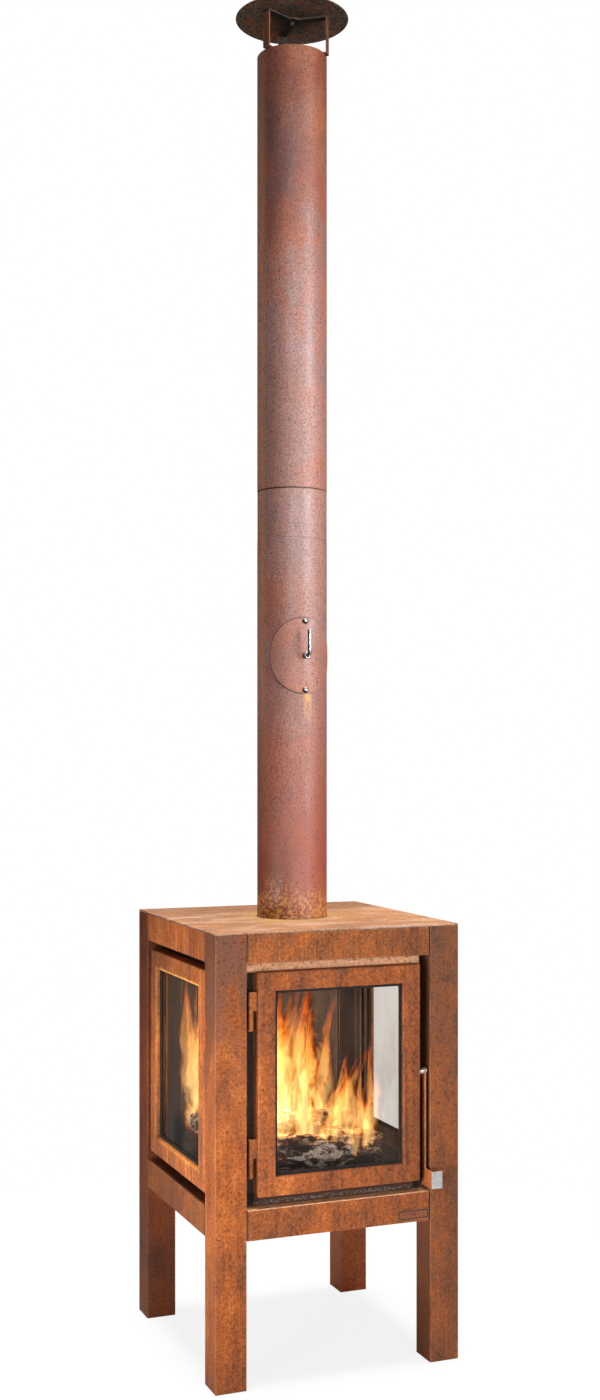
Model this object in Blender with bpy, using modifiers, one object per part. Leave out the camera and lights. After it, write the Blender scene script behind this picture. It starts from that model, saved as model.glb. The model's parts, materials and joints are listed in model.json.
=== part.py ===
"""Square outdoor wood stove in weathering steel, on four legs, with a tall flue pipe.

The origin is on the ground, midway between the legs. +Z is up and the door faces -Y.
All sizes are in metres.
"""

from math import cos, pi, radians, sin

import bmesh
import bpy
from mathutils import Matrix, Vector

# ---- driving dimensions ----
GAP = 0.0003                # between parts that touch
CUT = 0.05                  # length of a tool that cuts through a plate
BODY = 0.530                # outside width and depth of the frame
HEIGHT = 0.900              # ground to the top of the top plate
LEG = 0.065                 # square leg
SECTION_WALL = 0.003        # wall of the legs and rails
SECTION_CORNER = 0.0014     # rounding of the legs' and rails' edges
LOWER_RAIL_HEIGHT = 0.060
UPPER_RAIL_HEIGHT = 0.058
RAIL_DEPTH = 0.038
RAIL_END_GAP = 0.0015       # dark seam between a rail and its leg
LOWER_RAIL_TOP = 0.353
TOP_PLATE_T = 0.004
PLATE_EDGE = 0.001          # rounding of plate edges
LABEL_SIZE = (0.068, 0.0012, 0.020)
LABEL_EDGE = 0.0003
LABEL_RIGHT = 0.196
LABEL_Z = 0.309

PLATE_T = 0.004             # firebox plates
BAY_LIFT = 0.0005           # firebox above the lower rails
BAY_WIDTH = 0.380           # the firebox's door and window bays
BAY_FRONT = 0.235           # bay face, from the centre line
BAY_FLANGE = 0.032
OUTLET_R = 0.0705           # opening in the firebox roof
GRATE_WIDTH = 0.300
GRATE_T = 0.006
GRATE_FOOT = 0.012
GRATE_FOOT_WIDTH = 0.020
GRATE_SLOTS = 7
GRATE_SLOT = 0.014
GRATE_PITCH = 0.036
GRATE_MARGIN = 0.030
BAFFLE_SIZE = (0.320, 0.250)
BAFFLE_Y = 0.020
BAFFLE_BOTTOM = 0.790

PANEL_FACE = 0.262          # outer face of the door and window frames, from the centre line
PANEL_T = 0.003
PANEL_BAR = 0.038           # width of a door or window bar, seen from outside
PANEL_EDGE = 0.0012
PANEL_BOTTOM = 0.375
PANEL_TOP = 0.8195
PANEL_LIP = 0.010           # depth of the lip around the glass
DOOR_LEFT = -0.175
DOOR_RIGHT = 0.180
DOOR_DEPTH = 0.022
WINDOW_WIDTH = 0.372
GLASS_T = 0.004
GASKET_T = 0.003
GASKET_SHOWS = 0.006        # gasket visible inside the bars
GLASS_LAP = 0.012           # glass and gasket behind each bar
RETAINER_LAP = 0.030
GASKET_CORNER = 0.004
GLASS_CORNER = 0.003
RETAINER_T = 0.002
ROPE_R = 0.0031
ROPE_INSET = 0.002          # from the door's side walls
ROPE_CORNER = 0.012

HINGE_X = -0.1875
HINGE_Y = -0.2524
HINGE_LENGTH = 0.078
HINGE_CENTRES = {"lower": 0.4517, "upper": 0.7423}
KNUCKLE_R = 0.005
KNUCKLE_EDGE = 0.001
KNUCKLE_END = 0.003         # closed end of a knuckle
HINGE_STRAP_T = 0.003
HINGE_STRAP_SHORT = 0.002   # how much shorter a strap is than its knuckle
PIN_SHORT = 0.008           # how much shorter the pin is than the hinge
PIN_R = 0.0025

LATCH_Y = -0.2535
LATCH_Z = 0.598
LATCH_X = 0.1905            # left face of the lever
LATCH_T = 0.003
LATCH_BAR = 0.014
LATCH_BOTTOM = 0.364
TAB_FRONT = -0.293
TAB_HEIGHT = 0.035
TAB_WIDTH = 0.024
HOOK_LIP = 0.004            # width of the hook's lip behind the keeper
HOOK_REACH = 0.004          # from the keeper to the hook's throat
HOOK_BOTTOM = -0.016        # the hook's edges, from the pivot
HOOK_STEP = -0.009
HOOK_TOP = -0.0045
PIVOT_HOLE_R = 0.0034
SPACER_R = 0.006
SHANK_R = 0.003
BOLT_DEPTH = 0.006          # latch bolt inside the door
KEEPER_Y = -0.2395
KEEPER_R = 0.003
KEEPER_LENGTH = 0.0137
KEEPER_DROP = 0.001         # below the latch's pivot
DOME_R = 0.0065             # head of the latch and hatch bolts
DOME_BASE = 0.001
LATCH_DOME = 0.0045
HATCH_DOME = 0.006

PIPE_R = 0.075
PIPE_WALL = 0.002
PIPE_SIDES = 48
LOWER_PIPE_TOP = 1.708
UPPER_PIPE_BOTTOM = 1.8135
PIPE_TOP = 2.750
SPIGOT = 0.052              # length of each hidden end of the coupler
COUPLER_STEP = 0.0003       # coupler's band, inside the pipe's outer face
PIPE_CLEARANCE = 0.0015     # round the pipe where it passes the top plate
COLLAR_T = 0.002
COLLAR_TOP = 0.960
COLLAR_FLANGE_R = 0.088
COLLAR_FLANGE_T = 0.003

DAMPER_Z = 1.458
HATCH_R = 0.080             # of the flat blank, before it is rolled to the pipe
HATCH_BOLT_RISE = 0.073
HATCH_BOLT_HOLE_R = 0.0035
HATCH_BOLT_LENGTH = 0.010
ACCESS_SIZE = (0.046, 0.062)    # half width and half height of the opening behind the hatch
BUSH_R = 0.0068
BUSH_EDGE = 0.0008
BUSH_LENGTH = 0.012
SPINDLE_R = 0.004
SPINDLE_PLAY = 0.0006
SPINDLE_TAIL = 0.002        # past the rear of the pipe
SPINDLE_BEND = 0.010
SPINDLE_REACH = 0.101       # from the pipe's axis to the handle
HANDLE_RISE = 0.053
FLAP_R = 0.067
FLAP_T = 0.003

CAP_R = 0.1215
CAP_T = 0.003
CAP_EDGE = 0.0008
CAP_HOLE_R = 0.0045
CAP_BOTTOM = 2.8320
STRAP_WIDTH = 0.018
STRAP_T = 0.003
STRAP_R = 0.078             # outer leg of a strap, from the pipe's axis
STRAP_REST = 0.0012         # a strap's step, above the pipe's rim
STRAP_GRIP = 0.0715         # its tail inside the pipe, from the pipe's axis
STRAP_TAIL = 0.035
BRACKET_HUB_R = 0.019
STRAP_BEARINGS = (84.5, 204.5, 324.5)

# ---- worked out from them ----
HALF = BODY / 2
INNER = HALF - LEG                       # inner faces of the legs
UNDER_TOP = HEIGHT - TOP_PLATE_T         # underside of the top plate
UPPER_RAIL_BOTTOM = UNDER_TOP - GAP - UPPER_RAIL_HEIGHT
BAY_BOTTOM = LOWER_RAIL_TOP + BAY_LIFT
BAY_TOP = UPPER_RAIL_BOTTOM - GAP
BAY_HEIGHT = BAY_TOP - BAY_BOTTOM
BAY_MIDDLE = (BAY_TOP + BAY_BOTTOM) / 2
CORE = BAY_WIDTH / 2                     # half width of the firebox core
PANEL_HEIGHT = PANEL_TOP - PANEL_BOTTOM
PANEL_MIDDLE = (PANEL_TOP + PANEL_BOTTOM) / 2
DOOR_WIDTH = DOOR_RIGHT - DOOR_LEFT
DOOR_X = (DOOR_RIGHT + DOOR_LEFT) / 2
WINDOW_DEPTH = PANEL_FACE - BAY_FRONT - GAP
PIPE_BORE = PIPE_R - PIPE_WALL

RUST = (0.30, 0.105, 0.040)
PIPE_RUST = (0.27, 0.115, 0.080)
SOOT = (0.035, 0.022, 0.018)
FIRE_STEEL = (0.060, 0.045, 0.040)
STAINLESS = (0.62, 0.60, 0.58)
ROPE = (0.020, 0.020, 0.022)
GLASS = (0.75, 0.78, 0.76)

STOVE = "outdoor_stove"
CUTTERS = "stove_cutters"


# ---- scene and materials ----
def clear_scene():
    for obj in list(bpy.data.objects):
        bpy.data.objects.remove(obj, do_unlink=True)


def collection(name):
    found = bpy.data.collections.get(name)
    if found is None:
        found = bpy.data.collections.new(name)
        bpy.context.scene.collection.children.link(found)
    return found


def material(name, colour, roughness, metallic, alpha=1.0):
    mat = bpy.data.materials.get(name) or bpy.data.materials.new(name)
    mat.use_nodes = True
    shader = mat.node_tree.nodes["Principled BSDF"]
    shader.inputs["Base Color"].default_value = (*colour, 1.0)
    shader.inputs["Roughness"].default_value = roughness
    shader.inputs["Metallic"].default_value = metallic
    shader.inputs["Alpha"].default_value = alpha
    return mat


def rusty():
    return material("weathering_steel", RUST, 0.75, 0.2)


def pipe_rust():
    return material("pipe_steel", PIPE_RUST, 0.6, 0.3)


def sooty():
    return material("sooted_steel", SOOT, 0.8, 0.2)


def fire_steel():
    return material("firebox_steel", FIRE_STEEL, 0.8, 0.3)


def stainless():
    return material("stainless_steel", STAINLESS, 0.25, 1.0)


def rope_black():
    return material("glass_fibre_rope", ROPE, 0.9, 0.0)


def clear_glass():
    return material("ceramic_glass", GLASS, 0.05, 0.0, 0.35)


# ---- shapes ----
def place(obj, name, mat, location=(0, 0, 0), rotation=(0, 0, 0)):
    """Name a finished object, give it its material and move it to the stove's collection."""
    obj.name = name
    obj.data.name = name
    obj.location = location
    obj.rotation_euler = rotation
    obj.data.materials.clear()
    obj.data.materials.append(mat)
    for owner in list(obj.users_collection):
        owner.objects.unlink(obj)
    collection(STOVE).objects.link(obj)
    return obj


def mesh_object(name, bm):
    mesh = bpy.data.meshes.new(name)
    bm.to_mesh(mesh)
    bm.free()
    obj = bpy.data.objects.new(name, mesh)
    bpy.context.scene.collection.objects.link(obj)
    return obj


def box_mesh(size, centre=(0, 0, 0)):
    """A box of the given size, as a new object whose mesh holds its place."""
    bm = bmesh.new()
    bmesh.ops.create_cube(bm, size=1.0)
    bmesh.ops.scale(bm, vec=Vector(size), verts=bm.verts)
    bmesh.ops.translate(bm, vec=Vector(centre), verts=bm.verts)
    return mesh_object("box", bm)


def rod_mesh(radius, length, axis="Z", centre=(0, 0, 0), sides=24):
    """A plain round rod along one axis."""
    turn = {
        "X": Matrix.Rotation(pi / 2, 4, "Y"),
        "Y": Matrix.Rotation(pi / 2, 4, "X"),
        "Z": Matrix.Identity(4),
    }[axis]
    bm = bmesh.new()
    bmesh.ops.create_cone(
        bm, cap_ends=True, segments=sides, radius1=radius, radius2=radius, depth=length
    )
    bmesh.ops.transform(bm, matrix=Matrix.Translation(centre) @ turn, verts=bm.verts)
    return mesh_object("rod", bm)


def bevel(obj, width, segments=2):
    mod = obj.modifiers.new("bevel", "BEVEL")
    mod.width = width
    mod.segments = segments
    mod.limit_method = "ANGLE"
    mod.angle_limit = radians(40)
    mod.use_clamp_overlap = True


def thicken(obj, wall):
    """Give an open surface its thickness, on the inner side of its faces."""
    mod = obj.modifiers.new("wall", "SOLIDIFY")
    mod.thickness = wall
    mod.offset = -1.0
    mod.use_even_offset = True


def as_tool(obj):
    """Keep a boolean's second object out of the part."""
    obj.hide_render = True
    obj.display_type = "WIRE"
    for owner in list(obj.users_collection):
        owner.objects.unlink(obj)
    collection(CUTTERS).objects.link(obj)
    return obj


def boolean(obj, other, operation):
    mod = obj.modifiers.new(operation.lower(), "BOOLEAN")
    mod.object = as_tool(other)
    mod.operation = operation
    mod.solver = "EXACT"


def smooth(obj, angle=35):
    for face in obj.data.polygons:
        face.use_smooth = True
    obj.data.set_sharp_from_angle(angle=radians(angle))


def box(name, mat, size, centre, edge=0.0):
    obj = place(box_mesh(size), name, mat, centre)
    if edge:
        bevel(obj, edge)
    return obj


def section(name, mat, size, centre, open_along):
    """A square or rectangular hollow section, open where open_along names a face direction."""
    obj = box_mesh(size)
    bm = bmesh.new()
    bm.from_mesh(obj.data)
    ways = [Vector(way) for way in open_along]
    ends = [f for f in bm.faces if any(f.normal.dot(way) > 0.9 for way in ways)]
    bmesh.ops.delete(bm, geom=ends, context="FACES_ONLY")
    bm.to_mesh(obj.data)
    bm.free()
    place(obj, name, mat, centre)
    thicken(obj, SECTION_WALL)
    bevel(obj, SECTION_CORNER)
    return obj


def folded_frame(name, mat, width, height, bar, depth, lip, wall, edge):
    """A picture frame folded from sheet: a flat face at Y = 0 that faces -Y, an outer wall
    that runs back by depth, and a lip round the opening that runs back by lip."""
    bm = bmesh.new()
    corners = ((-1, -1), (1, -1), (1, 1), (-1, 1))
    verts = [bm.verts.new((x * width / 2, 0, z * height / 2)) for x, z in corners]
    face = bm.faces.new(verts)
    face.normal_update()
    bmesh.ops.inset_individual(bm, faces=[face], thickness=bar, use_even_offset=True)
    bmesh.ops.delete(bm, geom=[face], context="FACES_ONLY")
    borders = [border for border in bm.edges if border.is_boundary]
    outer_x = width / 2 - bar / 2
    rim = [border for border in borders if all(abs(v.co.x) > outer_x for v in border.verts)]
    mouth = [border for border in borders if border not in rim]
    for edges, run in ((rim, depth), (mouth, lip)):
        if run:
            grown = bmesh.ops.extrude_edge_only(bm, edges=edges)["geom"]
            moved = [v for v in grown if isinstance(v, bmesh.types.BMVert)]
            bmesh.ops.translate(bm, vec=(0, run, 0), verts=moved)
    bmesh.ops.recalc_face_normals(bm, faces=bm.faces)
    if next(f for f in bm.faces if abs(f.normal.y) > 0.9).normal.y > 0:
        bmesh.ops.reverse_faces(bm, faces=bm.faces)
    obj = place(mesh_object(name, bm), name, mat)
    thicken(obj, wall)
    bevel(obj, edge)
    return obj


def outline_plate(outlines, thickness):
    """A flat plate from closed outlines in the XY plane; inner outlines become holes."""
    curve = bpy.data.curves.new("outline", "CURVE")
    curve.dimensions = "2D"
    curve.fill_mode = "BOTH"
    curve.extrude = thickness / 2
    for points in outlines:
        spline = curve.splines.new("POLY")
        spline.points.add(len(points) - 1)
        for target, (x, y) in zip(spline.points, points):
            target.co = (x, y, 0, 1)
        spline.use_cyclic_u = True
    return curve_to_mesh(curve)


def curve_to_mesh(curve):
    """Turn a curve into a closed mesh with its caps welded."""
    holder = bpy.data.objects.new("curve", curve)
    bpy.context.scene.collection.objects.link(holder)
    bpy.context.view_layer.update()
    graph = bpy.context.evaluated_depsgraph_get()
    mesh = bpy.data.meshes.new_from_object(holder.evaluated_get(graph))
    bpy.data.objects.remove(holder, do_unlink=True)
    bm = bmesh.new()
    bm.from_mesh(mesh)
    bmesh.ops.remove_doubles(bm, verts=bm.verts, dist=1e-6)
    bm.to_mesh(mesh)
    bm.free()
    obj = bpy.data.objects.new("from_curve", mesh)
    bpy.context.scene.collection.objects.link(obj)
    return obj


def circle(radius, sides=24, centre=(0, 0)):
    angles = [2 * pi * i / sides for i in range(sides)]
    return [(centre[0] + radius * cos(a), centre[1] + radius * sin(a)) for a in angles]


def rounded_rectangle(width, height, radius, steps=4):
    """Points round a rectangle with rounded corners, counter-clockwise."""
    points = []
    for quarter, (sx, sy) in enumerate(((1, 1), (-1, 1), (-1, -1), (1, -1))):
        cx = sx * (width / 2 - radius)
        cy = sy * (height / 2 - radius)
        for i in range(steps + 1):
            angle = pi / 2 * (quarter + i / steps)
            points.append((cx + radius * cos(angle), cy + radius * sin(angle)))
    return points


def turned(name, mat, profile, location=(0, 0, 0), rotation=(0, 0, 0), sides=24, closed=True):
    """A turned solid about its own Z. The profile is (radius, height), down the outer side
    first, and a closed one returns to its first point."""
    bm = bmesh.new()
    verts = [bm.verts.new((r, 0, z)) for r, z in profile]
    pairs = list(zip(verts, verts[1:]))
    if closed:
        pairs.append((verts[-1], verts[0]))
    for a, b in pairs:
        bm.edges.new((a, b))
    obj = place(mesh_object(name, bm), name, mat, location, rotation)
    mod = obj.modifiers.new("turn", "SCREW")
    mod.axis = "Z"
    mod.steps = sides
    mod.render_steps = sides
    mod.use_merge_vertices = True
    mod.merge_threshold = 0.00001
    mod.use_smooth_shade = True
    return obj


def tube(name, mat, outer, bore, bottom, top, sides=PIPE_SIDES):
    profile = [(outer, top), (outer, bottom), (bore, bottom), (bore, top)]
    return turned(name, mat, profile, sides=sides)


# ---- frame ----
def legs():
    tall = UNDER_TOP - GAP
    middle = HALF - LEG / 2
    for end, sy in (("front", -1), ("rear", 1)):
        for side, sx in (("left", -1), ("right", 1)):
            centre = (sx * middle, sy * middle, tall / 2)
            section(f"leg_{end}_{side}", rusty(), (LEG, LEG, tall), centre, [(0, 0, 1)])


def rails():
    length = 2 * (INNER - RAIL_END_GAP)
    levels = (
        ("lower", LOWER_RAIL_HEIGHT, LOWER_RAIL_TOP - LOWER_RAIL_HEIGHT / 2),
        ("upper", UPPER_RAIL_HEIGHT, UPPER_RAIL_BOTTOM + UPPER_RAIL_HEIGHT / 2),
    )
    reach = HALF - RAIL_DEPTH / 2
    for level, tall, z in levels:
        for end, sy in (("front", -1), ("rear", 1)):
            size = (length, RAIL_DEPTH, tall)
            ends = [(1, 0, 0), (-1, 0, 0)]
            section(f"{level}_rail_{end}", rusty(), size, (0, sy * reach, z), ends)
        for side, sx in (("left", -1), ("right", 1)):
            size = (RAIL_DEPTH, length, tall)
            ends = [(0, 1, 0), (0, -1, 0)]
            section(f"{level}_rail_{side}", rusty(), size, (sx * reach, 0, z), ends)


def top_plate():
    obj = box(
        "top_plate",
        rusty(),
        (BODY, BODY, TOP_PLATE_T),
        (0, 0, HEIGHT - TOP_PLATE_T / 2),
        edge=PLATE_EDGE,
    )
    hole = rod_mesh(PIPE_R + PIPE_CLEARANCE, CUT, centre=(0, 0, HEIGHT), sides=PIPE_SIDES)
    boolean(obj, hole, "DIFFERENCE")


def label_plate():
    width, thick, _ = LABEL_SIZE
    centre = (LABEL_RIGHT - width / 2, -HALF - GAP - thick / 2, LABEL_Z)
    box("label_plate", rusty(), LABEL_SIZE, centre, edge=LABEL_EDGE)


# ---- firebox ----
def bays():
    """Surround frames for the door and both windows, and a closed tray at the back."""
    depth = BAY_FRONT - CORE - GAP
    for name, sx, sy, turn in (
        ("firebox_front_frame", 0, -1, 0),
        ("firebox_right_frame", 1, 0, pi / 2),
        ("firebox_left_frame", -1, 0, -pi / 2),
    ):
        obj = folded_frame(
            name, fire_steel(), BAY_WIDTH - 2 * GAP, BAY_HEIGHT, BAY_FLANGE,
            depth, 0, PLATE_T, PLATE_EDGE,
        )
        obj.location = (sx * BAY_FRONT, sy * BAY_FRONT, BAY_MIDDLE)
        obj.rotation_euler = (0, 0, turn)
    size = (BAY_WIDTH - 2 * GAP, depth, BAY_HEIGHT)
    back = section(
        "firebox_back", rusty(), size, (0, CORE + GAP + depth / 2, BAY_MIDDLE), [(0, -1, 0)]
    )
    back.modifiers["wall"].thickness = PLATE_T


def firebox_plates():
    side = 2 * (CORE - 2 * GAP)
    box("firebox_floor", fire_steel(), (side, side, PLATE_T), (0, 0, BAY_BOTTOM + PLATE_T / 2))
    roof = box("firebox_roof", fire_steel(), (side, side, PLATE_T), (0, 0, BAY_TOP - PLATE_T / 2))
    outlet = rod_mesh(OUTLET_R, CUT, sides=PIPE_SIDES)
    outlet.location = (0, 0, BAY_TOP)
    boolean(roof, outlet, "DIFFERENCE")


def fire_grate():
    """A slotted plate on four short feet, on the firebox floor."""
    bottom = BAY_BOTTOM + PLATE_T + GAP
    under = bottom + GRATE_FOOT
    size = (GRATE_WIDTH, GRATE_WIDTH, GRATE_T)
    obj = box("fire_grate", fire_steel(), size, (0, 0, under + GRATE_T / 2))
    for i in range(GRATE_SLOTS):
        x = (i - (GRATE_SLOTS - 1) / 2) * GRATE_PITCH
        slot = box_mesh((GRATE_SLOT, GRATE_WIDTH - 2 * GRATE_MARGIN, CUT), (x, 0, under))
        boolean(obj, slot, "DIFFERENCE")
    overlap = GRATE_T / 3
    tall = GRATE_FOOT + overlap
    reach = GRATE_WIDTH / 2 - GRATE_MARGIN / 2
    for sx in (-1, 1):
        for sy in (-1, 1):
            centre = (sx * reach, sy * reach, bottom + tall / 2)
            leg = box_mesh((GRATE_FOOT_WIDTH, GRATE_FOOT_WIDTH, tall), centre)
            boolean(obj, leg, "UNION")


def baffle_plate():
    """A smoke deflector hung under the roof: a flat bottom with a flange up each side."""
    tall = BAY_TOP - PLATE_T - GAP - BAFFLE_BOTTOM
    centre = (0, BAFFLE_Y, BAFFLE_BOTTOM + tall / 2)
    ways = [(0, 0, 1), (0, 1, 0), (0, -1, 0)]
    obj = section("baffle_plate", fire_steel(), (*BAFFLE_SIZE, tall), centre, ways)
    obj.modifiers.remove(obj.modifiers["bevel"])


# ---- glazed panels ----
def glazing(prefix, width, centre_x):
    """Gasket, glass and retainer behind a frame's lip, built facing -Y with the frame's
    outer face at Y = 0."""
    open_width = width - 2 * PANEL_BAR
    open_height = PANEL_HEIGHT - 2 * PANEL_BAR
    parts = []
    y = PANEL_LIP + GAP

    def sheet(lap, corner):
        return rounded_rectangle(open_width + 2 * lap, open_height + 2 * lap, corner, 2)

    loop = [sheet(GLASS_LAP, GASKET_CORNER), sheet(-GASKET_SHOWS, GASKET_CORNER)]
    gasket = outline_plate(loop, GASKET_T)
    parts.append((gasket, "gasket", rope_black(), y + GASKET_T / 2))
    y += GASKET_T + GAP
    glass = outline_plate([sheet(GLASS_LAP, GLASS_CORNER)], GLASS_T)
    parts.append((glass, "glass", clear_glass(), y + GLASS_T / 2))
    y += GLASS_T + GAP
    loop = [sheet(RETAINER_LAP, GLASS_CORNER), sheet(0, GLASS_CORNER)]
    retainer = outline_plate(loop, RETAINER_T)
    parts.append((retainer, "retainer", fire_steel(), y + RETAINER_T / 2))
    stand_up = Matrix.Rotation(pi / 2, 4, "X")
    for obj, kind, mat, depth in parts:
        obj.data.transform(Matrix.Translation((centre_x, depth, 0)) @ stand_up)
        place(obj, f"{prefix}_{kind}", mat)
    return [obj for obj, *_ in parts]


def windows():
    for side, sx, turn in (("left", -1, -pi / 2), ("right", 1, pi / 2)):
        frame = folded_frame(
            f"window_frame_{side}", rusty(), WINDOW_WIDTH, PANEL_HEIGHT, PANEL_BAR,
            WINDOW_DEPTH, PANEL_LIP, PANEL_T, PANEL_EDGE,
        )
        for obj in [frame, *glazing(f"window_{side}", WINDOW_WIDTH, 0)]:
            obj.location = (sx * PANEL_FACE, 0, PANEL_MIDDLE)
            obj.rotation_euler = (0, 0, turn)


def door():
    """Door frame and what is fixed to it, with every origin on the hinge axis."""
    at_hinge = (HINGE_X, HINGE_Y, 0)
    frame = folded_frame(
        "door_frame", rusty(), DOOR_WIDTH, PANEL_HEIGHT, PANEL_BAR,
        DOOR_DEPTH, PANEL_LIP, PANEL_T, PANEL_EDGE,
    )
    shift = Vector((DOOR_X - HINGE_X, -PANEL_FACE - HINGE_Y, PANEL_MIDDLE))
    frame.data.transform(Matrix.Translation(shift))
    frame.location = at_hinge
    bolt_hole = rod_mesh(PIVOT_HOLE_R, CUT / 2, "X", (DOOR_RIGHT, LATCH_Y, LATCH_Z), 16)
    boolean(frame, bolt_hole, "DIFFERENCE")
    for obj in glazing("door", DOOR_WIDTH, 0):
        obj.data.transform(Matrix.Translation(shift))
        obj.location = at_hinge
    rope_seal(at_hinge)


def rope_seal(at_hinge):
    """A rope loop between the door's retainer and the bay's flange."""
    curve = bpy.data.curves.new("rope", "CURVE")
    curve.dimensions = "3D"
    curve.bevel_depth = ROPE_R
    curve.bevel_resolution = 1
    inset = PANEL_T + ROPE_INSET + ROPE_R
    path = rounded_rectangle(DOOR_WIDTH - 2 * inset, PANEL_HEIGHT - 2 * inset, ROPE_CORNER)
    y = -BAY_FRONT - GAP - ROPE_R
    spline = curve.splines.new("POLY")
    spline.points.add(len(path) - 1)
    for target, (x, z) in zip(spline.points, path):
        target.co = (x + DOOR_X - HINGE_X, y - HINGE_Y, z + PANEL_MIDDLE, 1)
    spline.use_cyclic_u = True
    obj = place(curve_to_mesh(curve), "door_rope_seal", rope_black(), at_hinge)
    smooth(obj)


# ---- hinges ----
def hinges():
    half = HINGE_LENGTH / 2 - GAP
    bore = PIN_R + GAP
    start = KNUCKLE_R - KNUCKLE_EDGE
    tall = half - HINGE_STRAP_SHORT
    for which, z in HINGE_CENTRES.items():
        base = (HINGE_X, HINGE_Y, z)
        cup = [
            (0.0, half),
            (start, half),
            (KNUCKLE_R, half - KNUCKLE_EDGE),
            (KNUCKLE_R, GAP),
            (bore, GAP),
            (bore, half - KNUCKLE_END),
            (0.0, half - KNUCKLE_END),
        ]
        upper = turned(f"hinge_{which}_door_knuckle", rusty(), cup, base, sides=16, closed=False)
        reach = DOOR_LEFT - HINGE_X - GAP
        leaf = box_mesh((reach - start, HINGE_STRAP_T, tall), ((reach + start) / 2, 0, half / 2))
        leaf.location = base
        boolean(upper, leaf, "UNION")
        ring = [(r, -rise) for r, rise in reversed(cup)]
        lower = turned(f"hinge_{which}_fixed_knuckle", rusty(), ring, base, sides=16, closed=False)
        back = -BAY_FRONT - GAP - HINGE_Y
        strap = box_mesh((HINGE_STRAP_T, back - start, tall), (0, (back + start) / 2, -half / 2))
        strap.location = base
        boolean(lower, strap, "UNION")
        pin = rod_mesh(PIN_R, HINGE_LENGTH - PIN_SHORT, sides=16)
        smooth(place(pin, f"hinge_{which}_pin", stainless(), base))


# ---- latch ----
def domed_bolt(name, head, shank, length, location, rotation):
    """A bolt with a domed head, along its own Z."""
    dome = [(0.0, head)]
    for angle in (0.4, 0.8, 1.2, pi / 2):
        dome.append((DOME_R * sin(angle), DOME_BASE + (head - DOME_BASE) * cos(angle)))
    dome += [(DOME_R, 0.0), (shank, 0.0), (shank, -length), (0.0, -length)]
    turned(name, stainless(), dome, location, rotation, 20, closed=False)


def latch():
    pivot = (LATCH_X, LATCH_Y, LATCH_Z)
    half = LATCH_BAR / 2
    foot = LATCH_BOTTOM - LATCH_Z
    throat = KEEPER_Y - LATCH_Y + HOOK_REACH
    arc = [(half * cos(a), half * sin(a)) for a in [pi * i / 8 for i in range(9)]]
    front = TAB_FRONT - LATCH_Y
    lever_outline = [
        *arc,
        (-half, foot + TAB_HEIGHT),
        (front, foot + TAB_HEIGHT),
        (front, foot),
        (half, foot),
        (half, HOOK_BOTTOM),
        (throat + HOOK_LIP, HOOK_BOTTOM),
        (throat + HOOK_LIP, HOOK_TOP),
        (throat, HOOK_TOP),
        (throat, HOOK_STEP),
        (half, HOOK_STEP),
    ]
    lever = outline_plate([lever_outline, circle(PIVOT_HOLE_R, 16)], LATCH_T)
    stand_up = Matrix(((0, 0, 1, 0), (1, 0, 0, 0), (0, 1, 0, 0), (0, 0, 0, 1)))
    lever.data.transform(Matrix.Translation((LATCH_T / 2, 0, 0)) @ stand_up)
    place(lever, "latch_lever", rusty(), pivot)
    tab = box_mesh(
        (TAB_WIDTH, LATCH_T, TAB_HEIGHT),
        (TAB_WIDTH / 2, front + LATCH_T / 2, foot + TAB_HEIGHT / 2),
    )
    tab.location = pivot
    boolean(lever, tab, "UNION")

    along_x = (0, pi / 2, 0)
    face = LATCH_X + LATCH_T + GAP
    length = face - DOOR_RIGHT + BOLT_DEPTH
    seat = (face, LATCH_Y, LATCH_Z)
    domed_bolt("latch_pivot_bolt", LATCH_DOME, SHANK_R, length, seat, along_x)
    ring = [(SPACER_R, LATCH_X - GAP), (SPACER_R, DOOR_RIGHT + GAP)]
    ring += [(SHANK_R + GAP, DOOR_RIGHT + GAP), (SHANK_R + GAP, LATCH_X - GAP)]
    turned("latch_spacer", stainless(), ring, (0, LATCH_Y, LATCH_Z), along_x, 20)
    keeper = rod_mesh(KEEPER_R, KEEPER_LENGTH, "X", sides=16)
    keeper_x = INNER - GAP - KEEPER_LENGTH / 2
    spot = (keeper_x, KEEPER_Y, LATCH_Z - KEEPER_DROP)
    smooth(place(keeper, "latch_keeper", stainless(), spot))


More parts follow.
